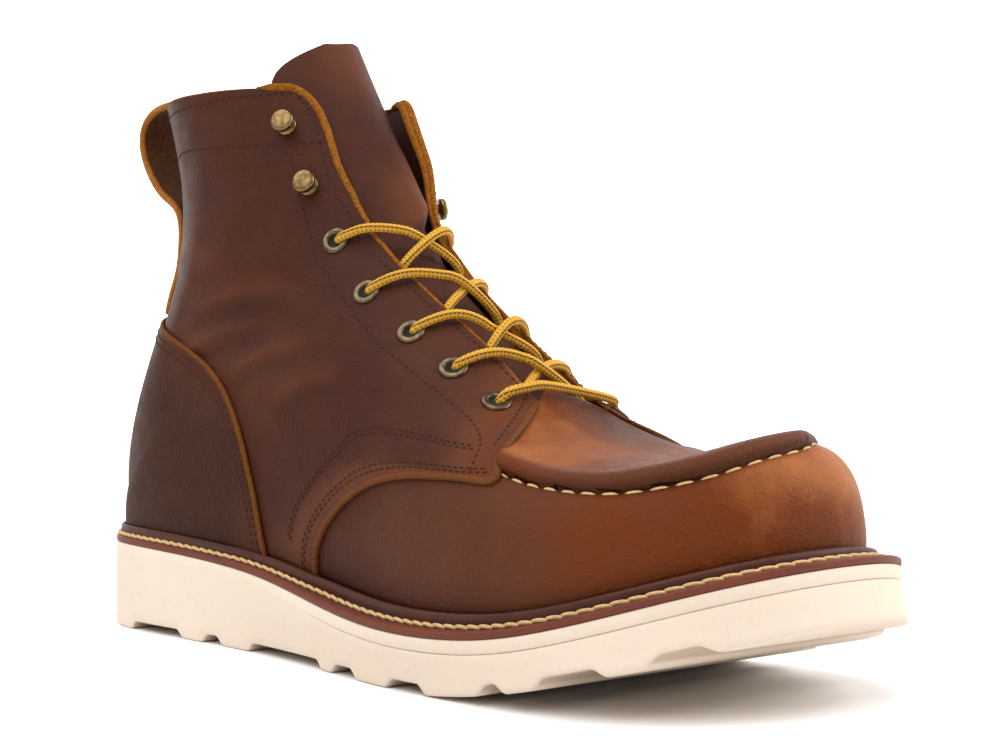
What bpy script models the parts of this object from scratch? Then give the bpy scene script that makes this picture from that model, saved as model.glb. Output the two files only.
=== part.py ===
# Moc toe work boot, right foot.
# Frame while building, in millimetres: X from the heel to the toe, Y to the medial side, Z up from the floor.
import math

import bpy
import numpy as np

MM = 0.001

# Upper, offsets measured outwards from the last surface
WALL_INSIDE = -2.4        # inside of the leather wall
VAMP_OUTSIDE = -0.6       # outside of the vamp and the plug
QUARTER_OUTSIDE = 0.4     # outside of the quarters, a step above the vamp
LIP_HEIGHT = 3.0          # rolled lip along the moc seam
LIP_SETBACK = 2.6         # the lip's crest lies this far inside the seam
GAP = 0.35                # room between curved pieces
INSIDE_POINT = (150.0, 0.0, 70.0)   # well inside the boot

# Sole
WELT_REACH_HEEL = 5.0     # sole edge beyond the feather line at the heel
WELT_REACH_TOE = 8.8      # the same from the ball to the toe
REACH_START = 60.0        # the edge widens from here
REACH_RUN = 120.0         # over this length
WELT_CLEAR = 0.45         # top of the welt below the feather line
WELT_THICK = 2.6
BEAD_WIDE = 3.2
BEAD_HIGH = 2.8
BEAD_MIDDLE = 1.5         # height of its widest part
RING_INSET = 4.0          # inner edge of the welt inside the feather line
MIDSOLE_THICK = 3.7
TOE_SPRING = 21.2
SPRING_START = 205.0
SPRING_POWER = 1.7
TOE_LENGTH = 305.0
TOE_FLARE = 2.0
FLARE_START = 230.0
FLARE_RUN = 70.0
PLATE_GAP = 0.3           # room between the layers of the sole
TREAD_DEPTH = 2.8
TREAD_WALL = 0.8

# Tread recesses along the sole: from, to
TREAD = ((36, 72), (82, 96), (110, 159), (163, 180), (194, 214), (233, 244), (252, 273), (280, 295))

# Height of the feather line above the floor, one value every 30 mm from the heel
FEATHER_STEP = 30.0
FEATHER_HEIGHT = (31.8, 31.6, 30.6, 28.8, 26.0, 21.8, 18.6, 18.0, 20.5, 27.5, 37.2)

# Sections of the last from the toe tip (row 0) over the heel corner (row 12) to the collar (row 17).
# Each runs from the ridge to its far end, on the feather line up to row 12 and on the back seam after it.
# lat and med are the largest half widths, foot_lat and foot_med the half widths at the feather line,
# widest the share of the way to the largest width, top and low the roundness above and below it.
HEEL_ROW = 12
COLLAR_ROW = 17
COLUMNS = ("ridge_x", "ridge_z", "far_x", "far_z", "lat", "med", "foot_lat", "foot_med",
           "widest", "top", "low", "centre", "bulge")
SECTIONS = (
    (288.0, 66.0, 298.0, 0.0, 0.0, 0.0, 0.0, 0.0, 0.68, 4.0, 2.6, 6.0, 4.5),
    (284.5, 66.0, 295.2, 0.0, 18.5, 16.5, 17.0, 15.0, 0.68, 4.0, 2.6, 6.0, 4.0),
    (276.5, 64.5, 287.0, 0.0, 33.5, 30.0, 31.0, 27.5, 0.68, 4.0, 2.6, 5.5, 2.5),
    (263.0, 62.0, 273.0, 0.0, 44.5, 39.5, 41.5, 37.0, 0.68, 3.8, 2.6, 5.0, 1.0),
    (246.0, 61.5, 252.0, 0.0, 50.0, 45.5, 47.5, 43.5, 0.68, 3.4, 2.6, 4.0, 0.0),
    (227.0, 66.0, 224.0, 0.0, 51.0, 47.0, 48.5, 46.0, 0.68, 2.9, 2.6, 3.0, 0.0),
    (207.0, 75.5, 192.0, 0.0, 48.0, 44.5, 45.5, 43.5, 0.68, 2.5, 2.5, 2.0, 0.0),
    (190.0, 89.0, 152.0, 0.0, 42.5, 38.0, 38.5, 36.0, 0.66, 2.4, 2.4, 1.0, 0.0),
    (175.0, 101.0, 106.0, 0.0, 39.5, 36.0, 34.5, 32.0, 0.60, 2.4, 2.4, 0.5, 0.0),
    (162.5, 111.5, 61.0, 0.0, 39.0, 36.0, 34.5, 33.0, 0.58, 2.4, 2.4, 0.0, 0.0),
    (154.0, 119.5, 29.0, 0.0, 38.5, 36.5, 31.8, 30.8, 0.58, 2.4, 2.5, 0.0, 0.0),
    (148.0, 126.0, 11.0, 0.0, 38.0, 36.5, 20.8, 20.0, 0.58, 2.4, 2.5, 0.0, 0.0),
    (143.0, 131.5, 4.5, 31.7, 37.5, 36.5, 0.0, 0.0, 0.58, 2.4, 2.2, 0.0, 0.0),
    (137.0, 140.5, -0.5, 54.0, 36.5, 36.0, 0.0, 0.0, 0.56, 2.4, 1.8, 0.0, 0.0),
    (131.0, 149.0, 11.0, 84.0, 35.0, 35.0, 0.0, 0.0, 0.53, 2.4, 1.6, 0.0, 0.0),
    (125.0, 158.0, 23.5, 114.0, 33.5, 33.5, 0.0, 0.0, 0.50, 2.4, 1.6, 0.0, 0.0),
    (119.0, 167.0, 28.5, 146.0, 33.0, 33.0, 0.0, 0.0, 0.50, 2.4, 1.7, 0.0, 0.0),
    (112.5, 176.0, 24.5, 179.5, 34.0, 34.0, 0.0, 0.0, 0.50, 2.4, 2.0, 0.0, 0.0),
)

# Pattern lines on the last: u counts the rows above, v is the share of the girth from the ridge.
# Moc seam, v every half row from the toe
SEAM_V = (0.05, 0.24, 0.394, 0.505, 0.57, 0.602, 0.61, 0.592, 0.563, 0.534, 0.502, 0.47, 0.44, 0.42,
          0.40)
# Edge of the vamp from the ridge to the throat corner, then the quarter's front edge to the feather line
EDGE = ((6.35, 0.0), (6.2, 0.05), (6.05, 0.094), (5.62, 0.25), (5.22, 0.45), (5.08, 0.50), (5.0, 0.545),
        (5.42, 0.551), (5.9, 0.558), (6.36, 0.576), (6.76, 0.614), (7.06, 0.678), (7.25, 0.78), (7.29, 0.89),
        (7.22, 1.0))
THROAT_CORNER = 2         # rows of EDGE
SEAM_LINE = 5
PLUG_SHARES = (0.0, 0.28, 0.55, 0.80, 0.93, 1.0)
VAMP_STEPS = (0.0, 0.15, 0.23, 0.31, 0.39, 0.47, 0.55, 0.63, 0.71, 0.79, 0.87, 0.94, 1.0)
FOOT_STEPS = 6            # quarter steps to the heel corner
SHAFT_STEPS = 8           # and from there to the collar
# Throat edge of the quarter: u, v
THROAT_U = (5.0, 6.05, 7.0, 8.0, 9.0, 10.5, 12.3, 13.3, 14.5, 16.2, 17.0)
THROAT_V = (0.094, 0.094, 0.081, 0.086, 0.082, 0.081, 0.077, 0.088, 0.112, 0.131, 0.150)
# On the medial side the pattern lies differently: shift of v at rows u, largest on the moc seam at the toe
# and on the throat edge behind it
MEDIAL_TOE_U = (0.0, 0.25, 0.5, 1.0, 1.5, 2.0, 2.5, 3.0, 3.5, 4.2)
MEDIAL_TOE_SHIFT = (0.0, -0.06, -0.12, -0.20, -0.22, -0.21, -0.17, -0.12, -0.06, 0.0)
MEDIAL_THROAT_U = (4.8, 5.4, 6.0, 7.0, 8.0, 9.0, 10.5, 12.3, 14.5, 16.2, 17.0)
MEDIAL_THROAT_SHIFT = (0.0, 0.06, 0.13, 0.10, 0.055, 0.030, 0.015, 0.012, 0.025, 0.060, 0.065)
MEDIAL_THROAT_END = 0.47  # the throat's shift fades out at this share
# Front and top edge of the heel counter from the feather line to the back seam, in side view: x, z
COUNTER_EDGE = ((115.4, 31.6), (114.6, 43.0), (111.4, 54.5), (106.2, 67.0), (97.5, 78.5), (85.0, 87.5),
                (68.0, 95.2), (49.0, 101.8), (33.5, 105.6), (23.6, 106.9))
COUNTER_BACK = (36.4, 107.4)   # heights of its lower and upper edge on the back seam
COUNTER_INSIDE = 1.7
COUNTER_OUTSIDE = 2.8
COUNTER_ROWS = 12
COUNTER_STEPS = 13

# Fittings on the eyestays: u, v and the height of the underside over the last, lateral and medial
EYELETS = ((12.15, 0.131, -0.10, 0.0), (9.45, 0.169, 0.20, 0.25), (8.05, 0.200, 0.65, 0.65),
           (7.05, 0.225, 0.80, 1.05), (6.2, 0.231, 1.30, 0.78))
HOOKS = ((15.9, 0.219, 0.75, 0.57), (14.05, 0.169, 0.35, 0.76))
MEDIAL_HOOK_SHIFT = 0.036  # the medial hooks sit further back: none shows past the far edge in the photo
EYELET_RADIUS = 4.15
EYELET_HOLE = 2.3
HOOK_CAP_RADIUS = 3.65
EYELET_HIGH = 1.0
LACE_RADIUS = 1.5
LACE_REACH = 0.35         # share of the way from the ridge to the opposite throat edge

# Tongue: u and half width along the girth, then its free end above the collar
TONGUE_OUTSIDE = -4.5
TONGUE_THICK = 2.2
TONGUE_U = (5.75, 6.4, 7.2, 8.2, 9.4, 10.8, 12.2, 13.4, 14.6, 15.8, 17.0)
TONGUE_HALF = (20.0, 23.0, 25.0, 26.0, 27.0, 28.0, 29.0, 30.0, 30.5, 30.5, 30.0)
TONGUE_RISE = 19.5
TONGUE_LEAN = -0.36       # forwards per millimetre upwards
TONGUE_END_POWER = (1.5, 3.0)   # how full its end is on the lateral and the medial side
TONGUE_END_HALF = (2.0, 5.0)    # smallest half widths there
TONGUE_END_STEPS = 6
TONGUE_ACROSS = 13

# Pull loop, a strap sewn down the back seam: side view points of its free bow
STRAP_HALF = 10.0
STRAP_THICK = 2.0
STRAP_SEAM_U = (14.95, 15.2, 15.45, 15.7)
STRAP_BOW = ((20.0, 144.0), (9.0, 152.5), (0.5, 161.0), (-4.6, 170.5), (-3.6, 179.5), (4.0, 185.2),
             (14.0, 186.0), (24.5, 185.2), (31.5, 181.0), (32.6, 170.0))

INSOLE_INSET = 4.5
INSOLE_RISE = 2.0

COLOURS = {
    "sole": (0.86, 0.76, 0.64), "midsole": (0.84, 0.73, 0.60), "welt": (0.16, 0.055, 0.035),
    "insole": (0.45, 0.28, 0.15), "leather": (0.12, 0.045, 0.027), "counter": (0.09, 0.045, 0.03),
    "tongue": (0.11, 0.04, 0.025), "strap": (0.28, 0.11, 0.03), "brass": (0.35, 0.27, 0.14),
    "lace": (0.62, 0.36, 0.06),
}


def spline(values, u, flat_start=False, flat_end=False):
    # Cubic spline through values at 0, 1, 2 ..., natural or level at its ends
    values = np.asarray(values, float)
    count = len(values)
    matrix = np.zeros((count, count))
    right = np.zeros(count)
    for row in range(1, count - 1):
        matrix[row, row - 1:row + 2] = (1, 4, 1)
        right[row] = 6 * (values[row - 1] - 2 * values[row] + values[row + 1])
    matrix[0, :2] = (2, 1) if flat_start else (1, 0)
    right[0] = 6 * (values[1] - values[0]) if flat_start else 0
    matrix[-1, -2:] = (1, 2) if flat_end else (0, 1)
    right[-1] = 6 * (values[-2] - values[-1]) if flat_end else 0
    bend = np.linalg.solve(matrix, right)
    u = np.asarray(u, float)
    low = np.clip(np.floor(u).astype(int), 0, count - 2)
    t = u - low
    curve = (bend[low] * (1 - t) ** 3 + bend[low + 1] * t ** 3) / 6
    return curve + (values[low] - bend[low] / 6) * (1 - t) + (values[low + 1] - bend[low + 1] / 6) * t


def feather_height(x):
    return spline(FEATHER_HEIGHT, np.clip(np.asarray(x, float) / FEATHER_STEP, 0, 10.3))


def section_values(u):
    # Every column of SECTIONS at the rows u
    table = np.array(SECTIONS)
    column = {name: table[:, k] for k, name in enumerate(COLUMNS)}
    level = ("ridge_x", "ridge_z", "widest", "top", "low", "centre", "bulge")
    at = {name: spline(column[name], u, flat_start=True) for name in level}
    at["lat"] = spline(column["lat"], u)
    at["med"] = spline(column["med"], u)
    foot = u <= HEEL_ROW
    foot_u = np.minimum(u, HEEL_ROW)
    back_u = np.maximum(u - HEEL_ROW, 0)
    front, back = slice(0, HEEL_ROW + 1), slice(HEEL_ROW, None)
    foot_x = spline(column["far_x"][front], foot_u, True, True)
    at["far_x"] = np.where(foot, foot_x, spline(column["far_x"][back], back_u))
    at["far_z"] = np.where(foot, feather_height(foot_x), spline(column["far_z"][back], back_u))
    for name in ("foot_lat", "foot_med"):
        at[name] = np.where(foot, np.maximum(spline(column[name][front], foot_u), 0), 0)
    return at


def section(u, side, count=129):
    # Points and arc lengths from the ridge to the far end of each section u, side -1 lateral or 1 medial
    at = {name: value[:, None] for name, value in section_values(np.asarray(u, float)).items()}
    half = np.maximum(at["lat"] if side < 0 else at["med"], 0.001)
    foot = at["foot_lat"] if side < 0 else at["foot_med"]
    way = np.linspace(0, 1, count)[None]
    upper = way <= 0.5
    first = np.clip(way * 2, 0, 1) * math.pi / 2
    second = np.clip(way * 2 - 1, 0, 1) * math.pi / 2
    top, low, widest = at["top"], at["low"], at["widest"]
    tuck = 1 - np.clip(foot / half, 0, 1) ** low
    sunk = np.sin(second) ** (2 / low)
    along = np.where(upper, widest * (1 - np.cos(first) ** (2 / top)), widest + (1 - widest) * sunk)
    out = np.where(upper, np.sin(first) ** (2 / top), np.clip(1 - tuck * sunk ** low, 0, 1) ** (1 / low))
    run_x, run_z = at["far_x"] - at["ridge_x"], at["far_z"] - at["ridge_z"]
    length = np.hypot(run_x, run_z)
    swell = at["bulge"] * np.sin(math.pi * along ** 0.8)
    x = at["ridge_x"] + run_x * along - run_z / length * swell
    z = at["ridge_z"] + run_z * along + run_x / length * swell
    points = np.stack([x, at["centre"] + side * half * out, z], -1)
    steps = np.linalg.norm(np.diff(points, axis=1), axis=2)
    arc = np.concatenate([np.zeros((len(points), 1)), np.cumsum(steps, axis=1)], 1)
    return points, arc


def pattern_share(u, v, side):
    # Girth share of a pattern point: as drawn on the lateral side, shifted on the medial side
    if side < 0:
        return v
    seam = spline(SEAM_V, np.clip(u, 0, 7) * 2)
    toe = np.interp(u, MEDIAL_TOE_U, MEDIAL_TOE_SHIFT)
    toe = toe * np.clip(np.minimum(v / seam, (1 - v) / (1 - seam)), 0, 1)
    throat = np.interp(u, THROAT_U, THROAT_V)
    edge = np.interp(u, MEDIAL_THROAT_U, MEDIAL_THROAT_SHIFT)
    fade = (MEDIAL_THROAT_END - v) / (MEDIAL_THROAT_END - throat)
    return v + toe + edge * np.clip(np.minimum(v / throat, fade), 0, 1)


def surface(u, v, side):
    # Points of the last at rows u and pattern shares v
    u, v = np.broadcast_arrays(np.asarray(u, float), np.asarray(v, float))
    v = pattern_share(u, v, side)
    points, arc = section(u.ravel(), side)
    found = [[np.interp(share * run[-1], run, line[:, k]) for k in range(3)]
             for share, run, line in zip(v.ravel(), arc, points)]
    return np.array(found).reshape(u.shape + (3,))


def girth(u, side):
    return section(np.atleast_1d(np.asarray(u, float)), side)[1][:, -1]


def outward(u, v, side):
    # Unit normals of the last at rows u and girth shares v
    step = 0.02
    along = surface(u + step, v, side) - surface(u - step, v, side)
    across = surface(u, v + step, side) - surface(u, v - step, side)
    normal = np.cross(across, along) * side
    return normal / np.linalg.norm(normal, axis=-1, keepdims=True)


def placed(u, v, side, offset):
    # One point of the last moved outwards by offset, with its outward normal
    normal = outward(u, v, side)
    return surface(u, v, side) + normal * offset, normal


def evenly(line, steps):
    # The same line of points at equal distances
    arc = np.concatenate([[0], np.cumsum(np.linalg.norm(np.diff(line, axis=0), axis=1))])
    at = np.linspace(0, arc[-1], steps + 1)
    return np.column_stack([np.interp(at, arc, line[:, k]) for k in range(3)])


def add_part(name, points, faces, colour, rough=0.6, metal=0.0):
    mesh = bpy.data.meshes.new(name)
    mesh.from_pydata([tuple(p) for p in np.asarray(points, float) * MM], [], [tuple(f) for f in faces])
    part = bpy.data.objects.new(name, mesh)
    bpy.context.scene.collection.objects.link(part)
    material = bpy.data.materials.new(name)
    material.use_nodes = True
    shader = material.node_tree.nodes["Principled BSDF"]
    shader.inputs["Base Color"].default_value = COLOURS[colour] + (1.0,)
    shader.inputs["Roughness"].default_value = rough
    shader.inputs["Metallic"].default_value = metal
    mesh.materials.append(material)
    bpy.context.view_layer.objects.active = part
    bpy.ops.object.mode_set(mode="EDIT")
    bpy.ops.mesh.select_all(action="SELECT")
    bpy.ops.mesh.normals_make_consistent(inside=False)
    bpy.ops.mesh.quads_convert_to_tris(quad_method="SHORTEST_DIAGONAL")
    bpy.ops.object.mode_set(mode="OBJECT")
    return part


def loft(rings, closed=False):
    # Faces joining rings of equal length, with flat ends unless the path is closed
    rings = np.asarray(rings)
    count, size = rings.shape[:2]
    faces = []
    for i in range(count if closed else count - 1):
        here, there = i * size, (i + 1) % count * size
        for k in range(size):
            n = (k + 1) % size
            faces.append((here + k, here + n, there + n, there + k))
    if not closed:
        faces.append(tuple(range(size - 1, -1, -1)))
        faces.append(tuple(range((count - 1) * size, count * size)))
    return rings.reshape(-1, 3), faces


def thick_grid(outer, inner):
    # Closed plate between two grids of points
    rings = [np.vstack([a, b[::-1]]) for a, b in zip(outer, inner)]
    return loft(rings)


def upper_grid():
    # Grid of u and v from the toe to the vamp's edge, and from there to the collar
    edge = np.array(EDGE)
    lines = len(edge)
    steps = np.array(VAMP_STEPS)[:, None]
    u = steps * edge[:, 0]
    seam = spline(SEAM_V, np.clip(u, 0, 7) * 2)
    edge_seam = spline(SEAM_V, edge[:, 0] * 2)
    plug = np.arange(lines) <= SEAM_LINE
    wall_shares = np.arange(lines - SEAM_LINE) / (lines - 1 - SEAM_LINE)
    toe_share = np.concatenate([PLUG_SHARES, wall_shares[1:]])
    edge_share = np.where(plug, edge[:, 1] / edge_seam, (edge[:, 1] - edge_seam) / (1 - edge_seam))
    share = toe_share + (edge_share - toe_share) * steps
    v = np.where(plug, seam * share, seam + (1 - seam) * share)
    foot = (HEEL_ROW - edge[-1, 0]) / (COLLAR_ROW - edge[-1, 0])
    way = np.concatenate([np.linspace(0, foot, FOOT_STEPS + 1), np.linspace(foot, 1, SHAFT_STEPS + 1)[1:]])
    way = way[:, None]
    back = edge[THROAT_CORNER:]
    quarter_u = back[:, 0] + (COLLAR_ROW - back[:, 0]) * way
    throat = np.interp(quarter_u, THROAT_U, THROAT_V)
    back_throat = np.interp(back[:, 0], THROAT_U, THROAT_V)
    from_share = (back[:, 1] - back_throat) / (1 - back_throat)
    from_share[0] = 0
    to_share = np.linspace(0, 1, len(back))
    quarter_v = throat + (1 - throat) * (from_share + (to_share - from_share) * way)
    return (u, v), (quarter_u, quarter_v)


def seam_line(side):
    u = np.linspace(0.02, 5.6, 90)
    return surface(u, spline(SEAM_V, u * 2), side)


def build_upper():
    # The last's grid on both sides, welded along the toe, the ridge and the back seam
    points, lip = [], []
    vamp, quarter = {}, {}
    vamp_faces, quarter_faces = [], []
    for side in (-1, 1):
        (u, v), (qu, qv) = upper_grid()
        spots = surface(u, v, side)
        line = seam_line(side)
        away = np.linalg.norm(spots[:, :, None] - line[None, None], axis=3).min(2)
        crest = LIP_HEIGHT * away / LIP_SETBACK * np.exp(1 - away / LIP_SETBACK)
        for i in range(u.shape[0]):
            for j in range(u.shape[1]):
                if side > 0 and (i == 0 or j == 0):
                    vamp[side, i, j] = vamp[-1, i, j]
                    continue
                vamp[side, i, j] = len(points)
                points.append(spots[i, j])
                inside = j < SEAM_LINE and i < u.shape[0] - 1
                lip.append(crest[i, j] if inside else 0.0)
        spots = surface(qu, qv, side)
        for i in range(qu.shape[0]):
            for j in range(qu.shape[1]):
                if i == 0:
                    quarter[side, i, j] = vamp[side, u.shape[0] - 1, j + THROAT_CORNER]
                elif side > 0 and j == qu.shape[1] - 1 and i >= FOOT_STEPS:
                    quarter[side, i, j] = quarter[-1, i, j]
                else:
                    quarter[side, i, j] = len(points)
                    points.append(spots[i, j])
                    lip.append(0.0)
        for table, shape, faces in ((vamp, u.shape, vamp_faces), (quarter, qu.shape, quarter_faces)):
            for i in range(shape[0] - 1):
                for j in range(shape[1] - 1):
                    spots = ((i, j), (i + 1, j), (i + 1, j + 1), (i, j + 1))
                    face = [table[(side,) + spot] for spot in spots]
                    corners = [face[:3], [face[0]] + face[2:]] if table is vamp and i == j == 0 else [face]
                    faces += [tuple(c if side > 0 else c[::-1]) for c in corners]
    points, lip = np.array(points), np.array(lip)
    normals = np.zeros_like(points)
    for face in vamp_faces + quarter_faces:
        a, b, c = points[face[0]], points[face[1]], points[face[2]]
        turn = np.cross(b - a, c - a) + (np.cross(c - a, points[face[3]] - a) if len(face) > 3 else 0)
        for k in face:
            normals[k] += turn
    normals /= np.linalg.norm(normals, axis=1)[:, None]
    if ((points - np.array(INSIDE_POINT)) * normals).sum() < 0:
        normals = -normals
    count = len(points)
    vamp_out = points + normals * (VAMP_OUTSIDE + lip)[:, None]
    quarter_out = points + normals * QUARTER_OUTSIDE
    inside = points + normals * WALL_INSIDE
    every = np.vstack([inside, vamp_out, quarter_out])
    faces = [tuple(k + count for k in face) for face in vamp_faces]
    faces += [tuple(k + 2 * count for k in face) for face in quarter_faces]
    faces += [face[::-1] for face in vamp_faces + quarter_faces]
    # Rims close the open edges, and a step joins the vamp's outside to the quarter's
    edges = {}
    for kind, group in ((1, vamp_faces), (2, quarter_faces)):
        for face in group:
            for a, b in zip(face, face[1:] + face[:1]):
                key = (min(a, b), max(a, b))
                edges.setdefault(key, []).append((a, b, kind))
    last = len(VAMP_STEPS) - 1
    ends = {}
    for side in (-1, 1):
        ends[vamp[side, last, THROAT_CORNER]] = True
        ends[vamp[side, last, len(EDGE) - 1]] = True
    for (low, high), uses in edges.items():
        if len(uses) == 1:
            a, b, kind = uses[0]
            shift = kind * count
            rim = [b + shift, a + shift]
            if kind == 2 and a in ends:
                rim.append(a + count)
            rim += [a, b]
            if kind == 2 and b in ends:
                rim.append(b + count)
            faces.append(tuple(rim))
        elif uses[0][2] != uses[1][2]:
            a, b, kind = uses[0]
            faces.append((b + count, a + count, a + 2 * count, b + 2 * count))
    used = sorted({k for face in faces for k in face})
    new = {k: n for n, k in enumerate(used)}
    return add_part("upper", every[used], [tuple(new[k] for k in face) for face in faces], "leather", 0.5)


def feather_loop(count):
    # The feather line all round from the toe over the lateral side and the heel back to the toe:
    # points, horizontal outward directions, u and side of each
    u = HEEL_ROW * (1 - np.cos(np.linspace(0, math.pi, count))) / 2
    u = 0.6 * u + 0.4 * np.linspace(0, HEEL_ROW, count)
    lateral, medial = surface(u, np.ones(count), -1), surface(u, np.ones(count), 1)
    points = np.vstack([lateral, medial[-2:0:-1]])
    rows = np.concatenate([u, u[-2:0:-1]])
    sides = np.concatenate([-np.ones(count), np.ones(count - 2)])
    ahead = np.roll(points, -1, axis=0) - np.roll(points, 1, axis=0)
    out = np.stack([-ahead[:, 1], ahead[:, 0], np.zeros(len(ahead))], 1)
    out /= np.linalg.norm(out, axis=1)[:, None]
    if ((points - np.array(INSIDE_POINT) * (1, 1, 0)) * out).sum() < 0:
        out = -out
    return points, out, rows, sides


def welt_reach(x):
    t = np.clip((x - REACH_START) / REACH_RUN, 0, 1)
    return WELT_REACH_HEEL + (WELT_REACH_TOE - WELT_REACH_HEEL) * t * t * (3 - 2 * t)


def spring(x):
    return TOE_SPRING * np.clip((x - SPRING_START) / (TOE_LENGTH - SPRING_START), 0, None) ** SPRING_POWER


def midsole_top(x):
    return feather_height(x) - WELT_CLEAR - WELT_THICK - PLATE_GAP


def midsole_low(x):
    return midsole_top(x) - MIDSOLE_THICK


def outsole_top(x):
    return midsole_low(x) - PLATE_GAP


def insole_top(x):
    return feather_height(x) + INSOLE_RISE


def insole_low(x):
    return midsole_top(x) + PLATE_GAP


def with_height(points, z):
    return np.column_stack([points[:, :2], z])


def build_welt():
    points, out, rows, sides = feather_loop(34)
    reach = welt_reach(points[:, 0])
    quarter = np.clip((rows - 6.7) / 0.5, 0, 1)
    clear = -0.1 + 1.1 * quarter
    size = np.array([girth(r, s)[0] for r, s in zip(rows, sides)])
    leans = []
    for height in (BEAD_MIDDLE, BEAD_HIGH):
        lean = np.array([surface(r, 1 - height / g, s) for r, s, g in zip(rows, sides, size)])
        leans.append(((lean - points) * out).sum(1))
    at_middle, at_top = (clear + np.maximum(lean, 0) for lean in leans)
    profile = (
        (-RING_INSET, -WELT_THICK), (reach - 0.3, -WELT_THICK), (reach - 0.3, 0), (clear + BEAD_WIDE, 0),
        (at_middle + BEAD_WIDE - 0.3, BEAD_MIDDLE), (at_top + 1.9, BEAD_HIGH), (at_top + 0.5, BEAD_HIGH),
        (at_middle, BEAD_MIDDLE), (clear, 0),
        (-RING_INSET, 0),
    )
    rings = []
    for side, up in profile:
        spot = points + out * (side + 0 * reach)[:, None]
        rings.append(with_height(spot, feather_height(spot[:, 0]) - WELT_CLEAR + up))
    spots, faces = loft(np.stack(rings, 1), closed=True)
    return add_part("welt", spots, faces, "welt", 0.55)


def sole_stations():
    # Lateral and medial feather points at the same row, from the heel to the toe, with the tread's walls
    u = np.linspace(0, HEEL_ROW, 481)
    at = section_values(u)["far_x"]
    rows = list(np.linspace(0, HEEL_ROW, 41))
    for start, end in TREAD:
        for x in (start, start + TREAD_WALL, end - TREAD_WALL, end):
            rows.append(np.interp(-x, -at, u))
    return np.array(sorted(set(np.round(rows, 4)), reverse=True))


def sole_plate(rows, reach_extra, top, bottom):
    # Plate between two heights over the outline, as strips from the lateral to the medial side
    rings = []
    step = 0.01
    for side in (-1, 1):
        here = surface(rows, np.ones(len(rows)), side)
        ahead = surface(np.clip(rows - step, 0, HEEL_ROW), np.ones(len(rows)), side)
        behind = surface(np.clip(rows + step, 0, HEEL_ROW), np.ones(len(rows)), side)
        way = ahead - behind
        out = np.stack([way[:, 1], -way[:, 0], 0 * way[:, 0]], 1) * -side
        out /= np.maximum(np.linalg.norm(out, axis=1), 1e-9)[:, None]
        out[0], out[-1] = (-1, 0, 0), (1, 0, 0)
        rings.append((here, out))
    columns = []
    for (here, out), (extra, height) in zip((rings[0], rings[1], rings[1], rings[0]),
                                            ((0, bottom), (0, bottom), (1, top), (1, top))):
        reach = welt_reach(here[:, 0]) + reach_extra(here[:, 0], extra)
        spot = here + out * reach[:, None]
        columns.append(with_height(spot, height(spot[:, 0])))
    return np.stack(columns, 1)


def plate_part(name, stations, colour, rough):
    # The first and last stations are single edges at the heel and the toe
    count = len(stations)
    points, faces = [], []
    index = np.zeros((count, 4), int)
    for i, (bl, bm, tm, tl) in enumerate(stations):
        if i in (0, count - 1):
            index[i] = (len(points), len(points), len(points) + 1, len(points) + 1)
            points += [(bl + bm) / 2, (tl + tm) / 2]
        else:
            index[i] = len(points) + np.arange(4)
            points += [bl, bm, tm, tl]
    for i in range(count - 1):
        for k in range(4):
            n = (k + 1) % 4
            face = (index[i, k], index[i, n], index[i + 1, n], index[i + 1, k])
            face = tuple(dict.fromkeys(int(f) for f in face))
            if len(face) > 2:
                faces.append(face)
    return add_part(name, points, faces, colour, rough)


def build_sole():
    rows = sole_stations()
    along = section_values(rows)["far_x"]
    inside = np.zeros(len(rows), bool)
    for start, end in TREAD:
        inside |= (along > start + TREAD_WALL / 2) & (along < end - TREAD_WALL / 2)

    def bottom(x):
        return spring(x) + TREAD_DEPTH * inside

    def flare(x, upper):
        return 0 if upper else TOE_FLARE * np.clip((x - FLARE_START) / FLARE_RUN, 0, 1)

    def straight(x, upper):
        return 0 * x

    def inset(x, upper):
        return -welt_reach(x) - INSOLE_INSET

    plate_part("outsole", sole_plate(rows, flare, outsole_top, bottom), "sole", 0.8)
    plain = np.linspace(HEEL_ROW, 0, 41)
    plate_part("midsole", sole_plate(plain, straight, midsole_top, midsole_low), "midsole", 0.8)
    plate_part("insole", sole_plate(plain, inset, insole_top, insole_low), "insole", 0.85)


def build_tongue():
    # Points under the throat, then the collar's own points carried upwards to the free end
    rows = [(u, (half, half), 0.0) for u, half in zip(TONGUE_U, TONGUE_HALF)]
    for step in range(1, TONGUE_END_STEPS + 1):
        share = step / TONGUE_END_STEPS
        halves = [max(TONGUE_HALF[-1] * (1 - share ** power), least)
                  for power, least in zip(TONGUE_END_POWER, TONGUE_END_HALF)]
        rows.append((COLLAR_ROW, halves, TONGUE_RISE * share))
    outer, inner = [], []
    for u, (lateral, medial), rise in rows:
        lift = np.array([TONGUE_LEAN * rise, 0, rise])
        for t in np.linspace(-1, 1, TONGUE_ACROSS):
            side, half = (-1, lateral) if t < 0 else (1, medial)
            spot, normal = placed(u, abs(t) * half / girth(u, side)[0], side, TONGUE_OUTSIDE)
            outer.append(spot + lift)
            inner.append(spot + lift - normal * TONGUE_THICK)
    shape = (len(rows), TONGUE_ACROSS, 3)
    points, faces = thick_grid(np.reshape(outer, shape), np.reshape(inner, shape))
    return add_part("tongue", points, faces, "tongue", 0.6)


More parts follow.
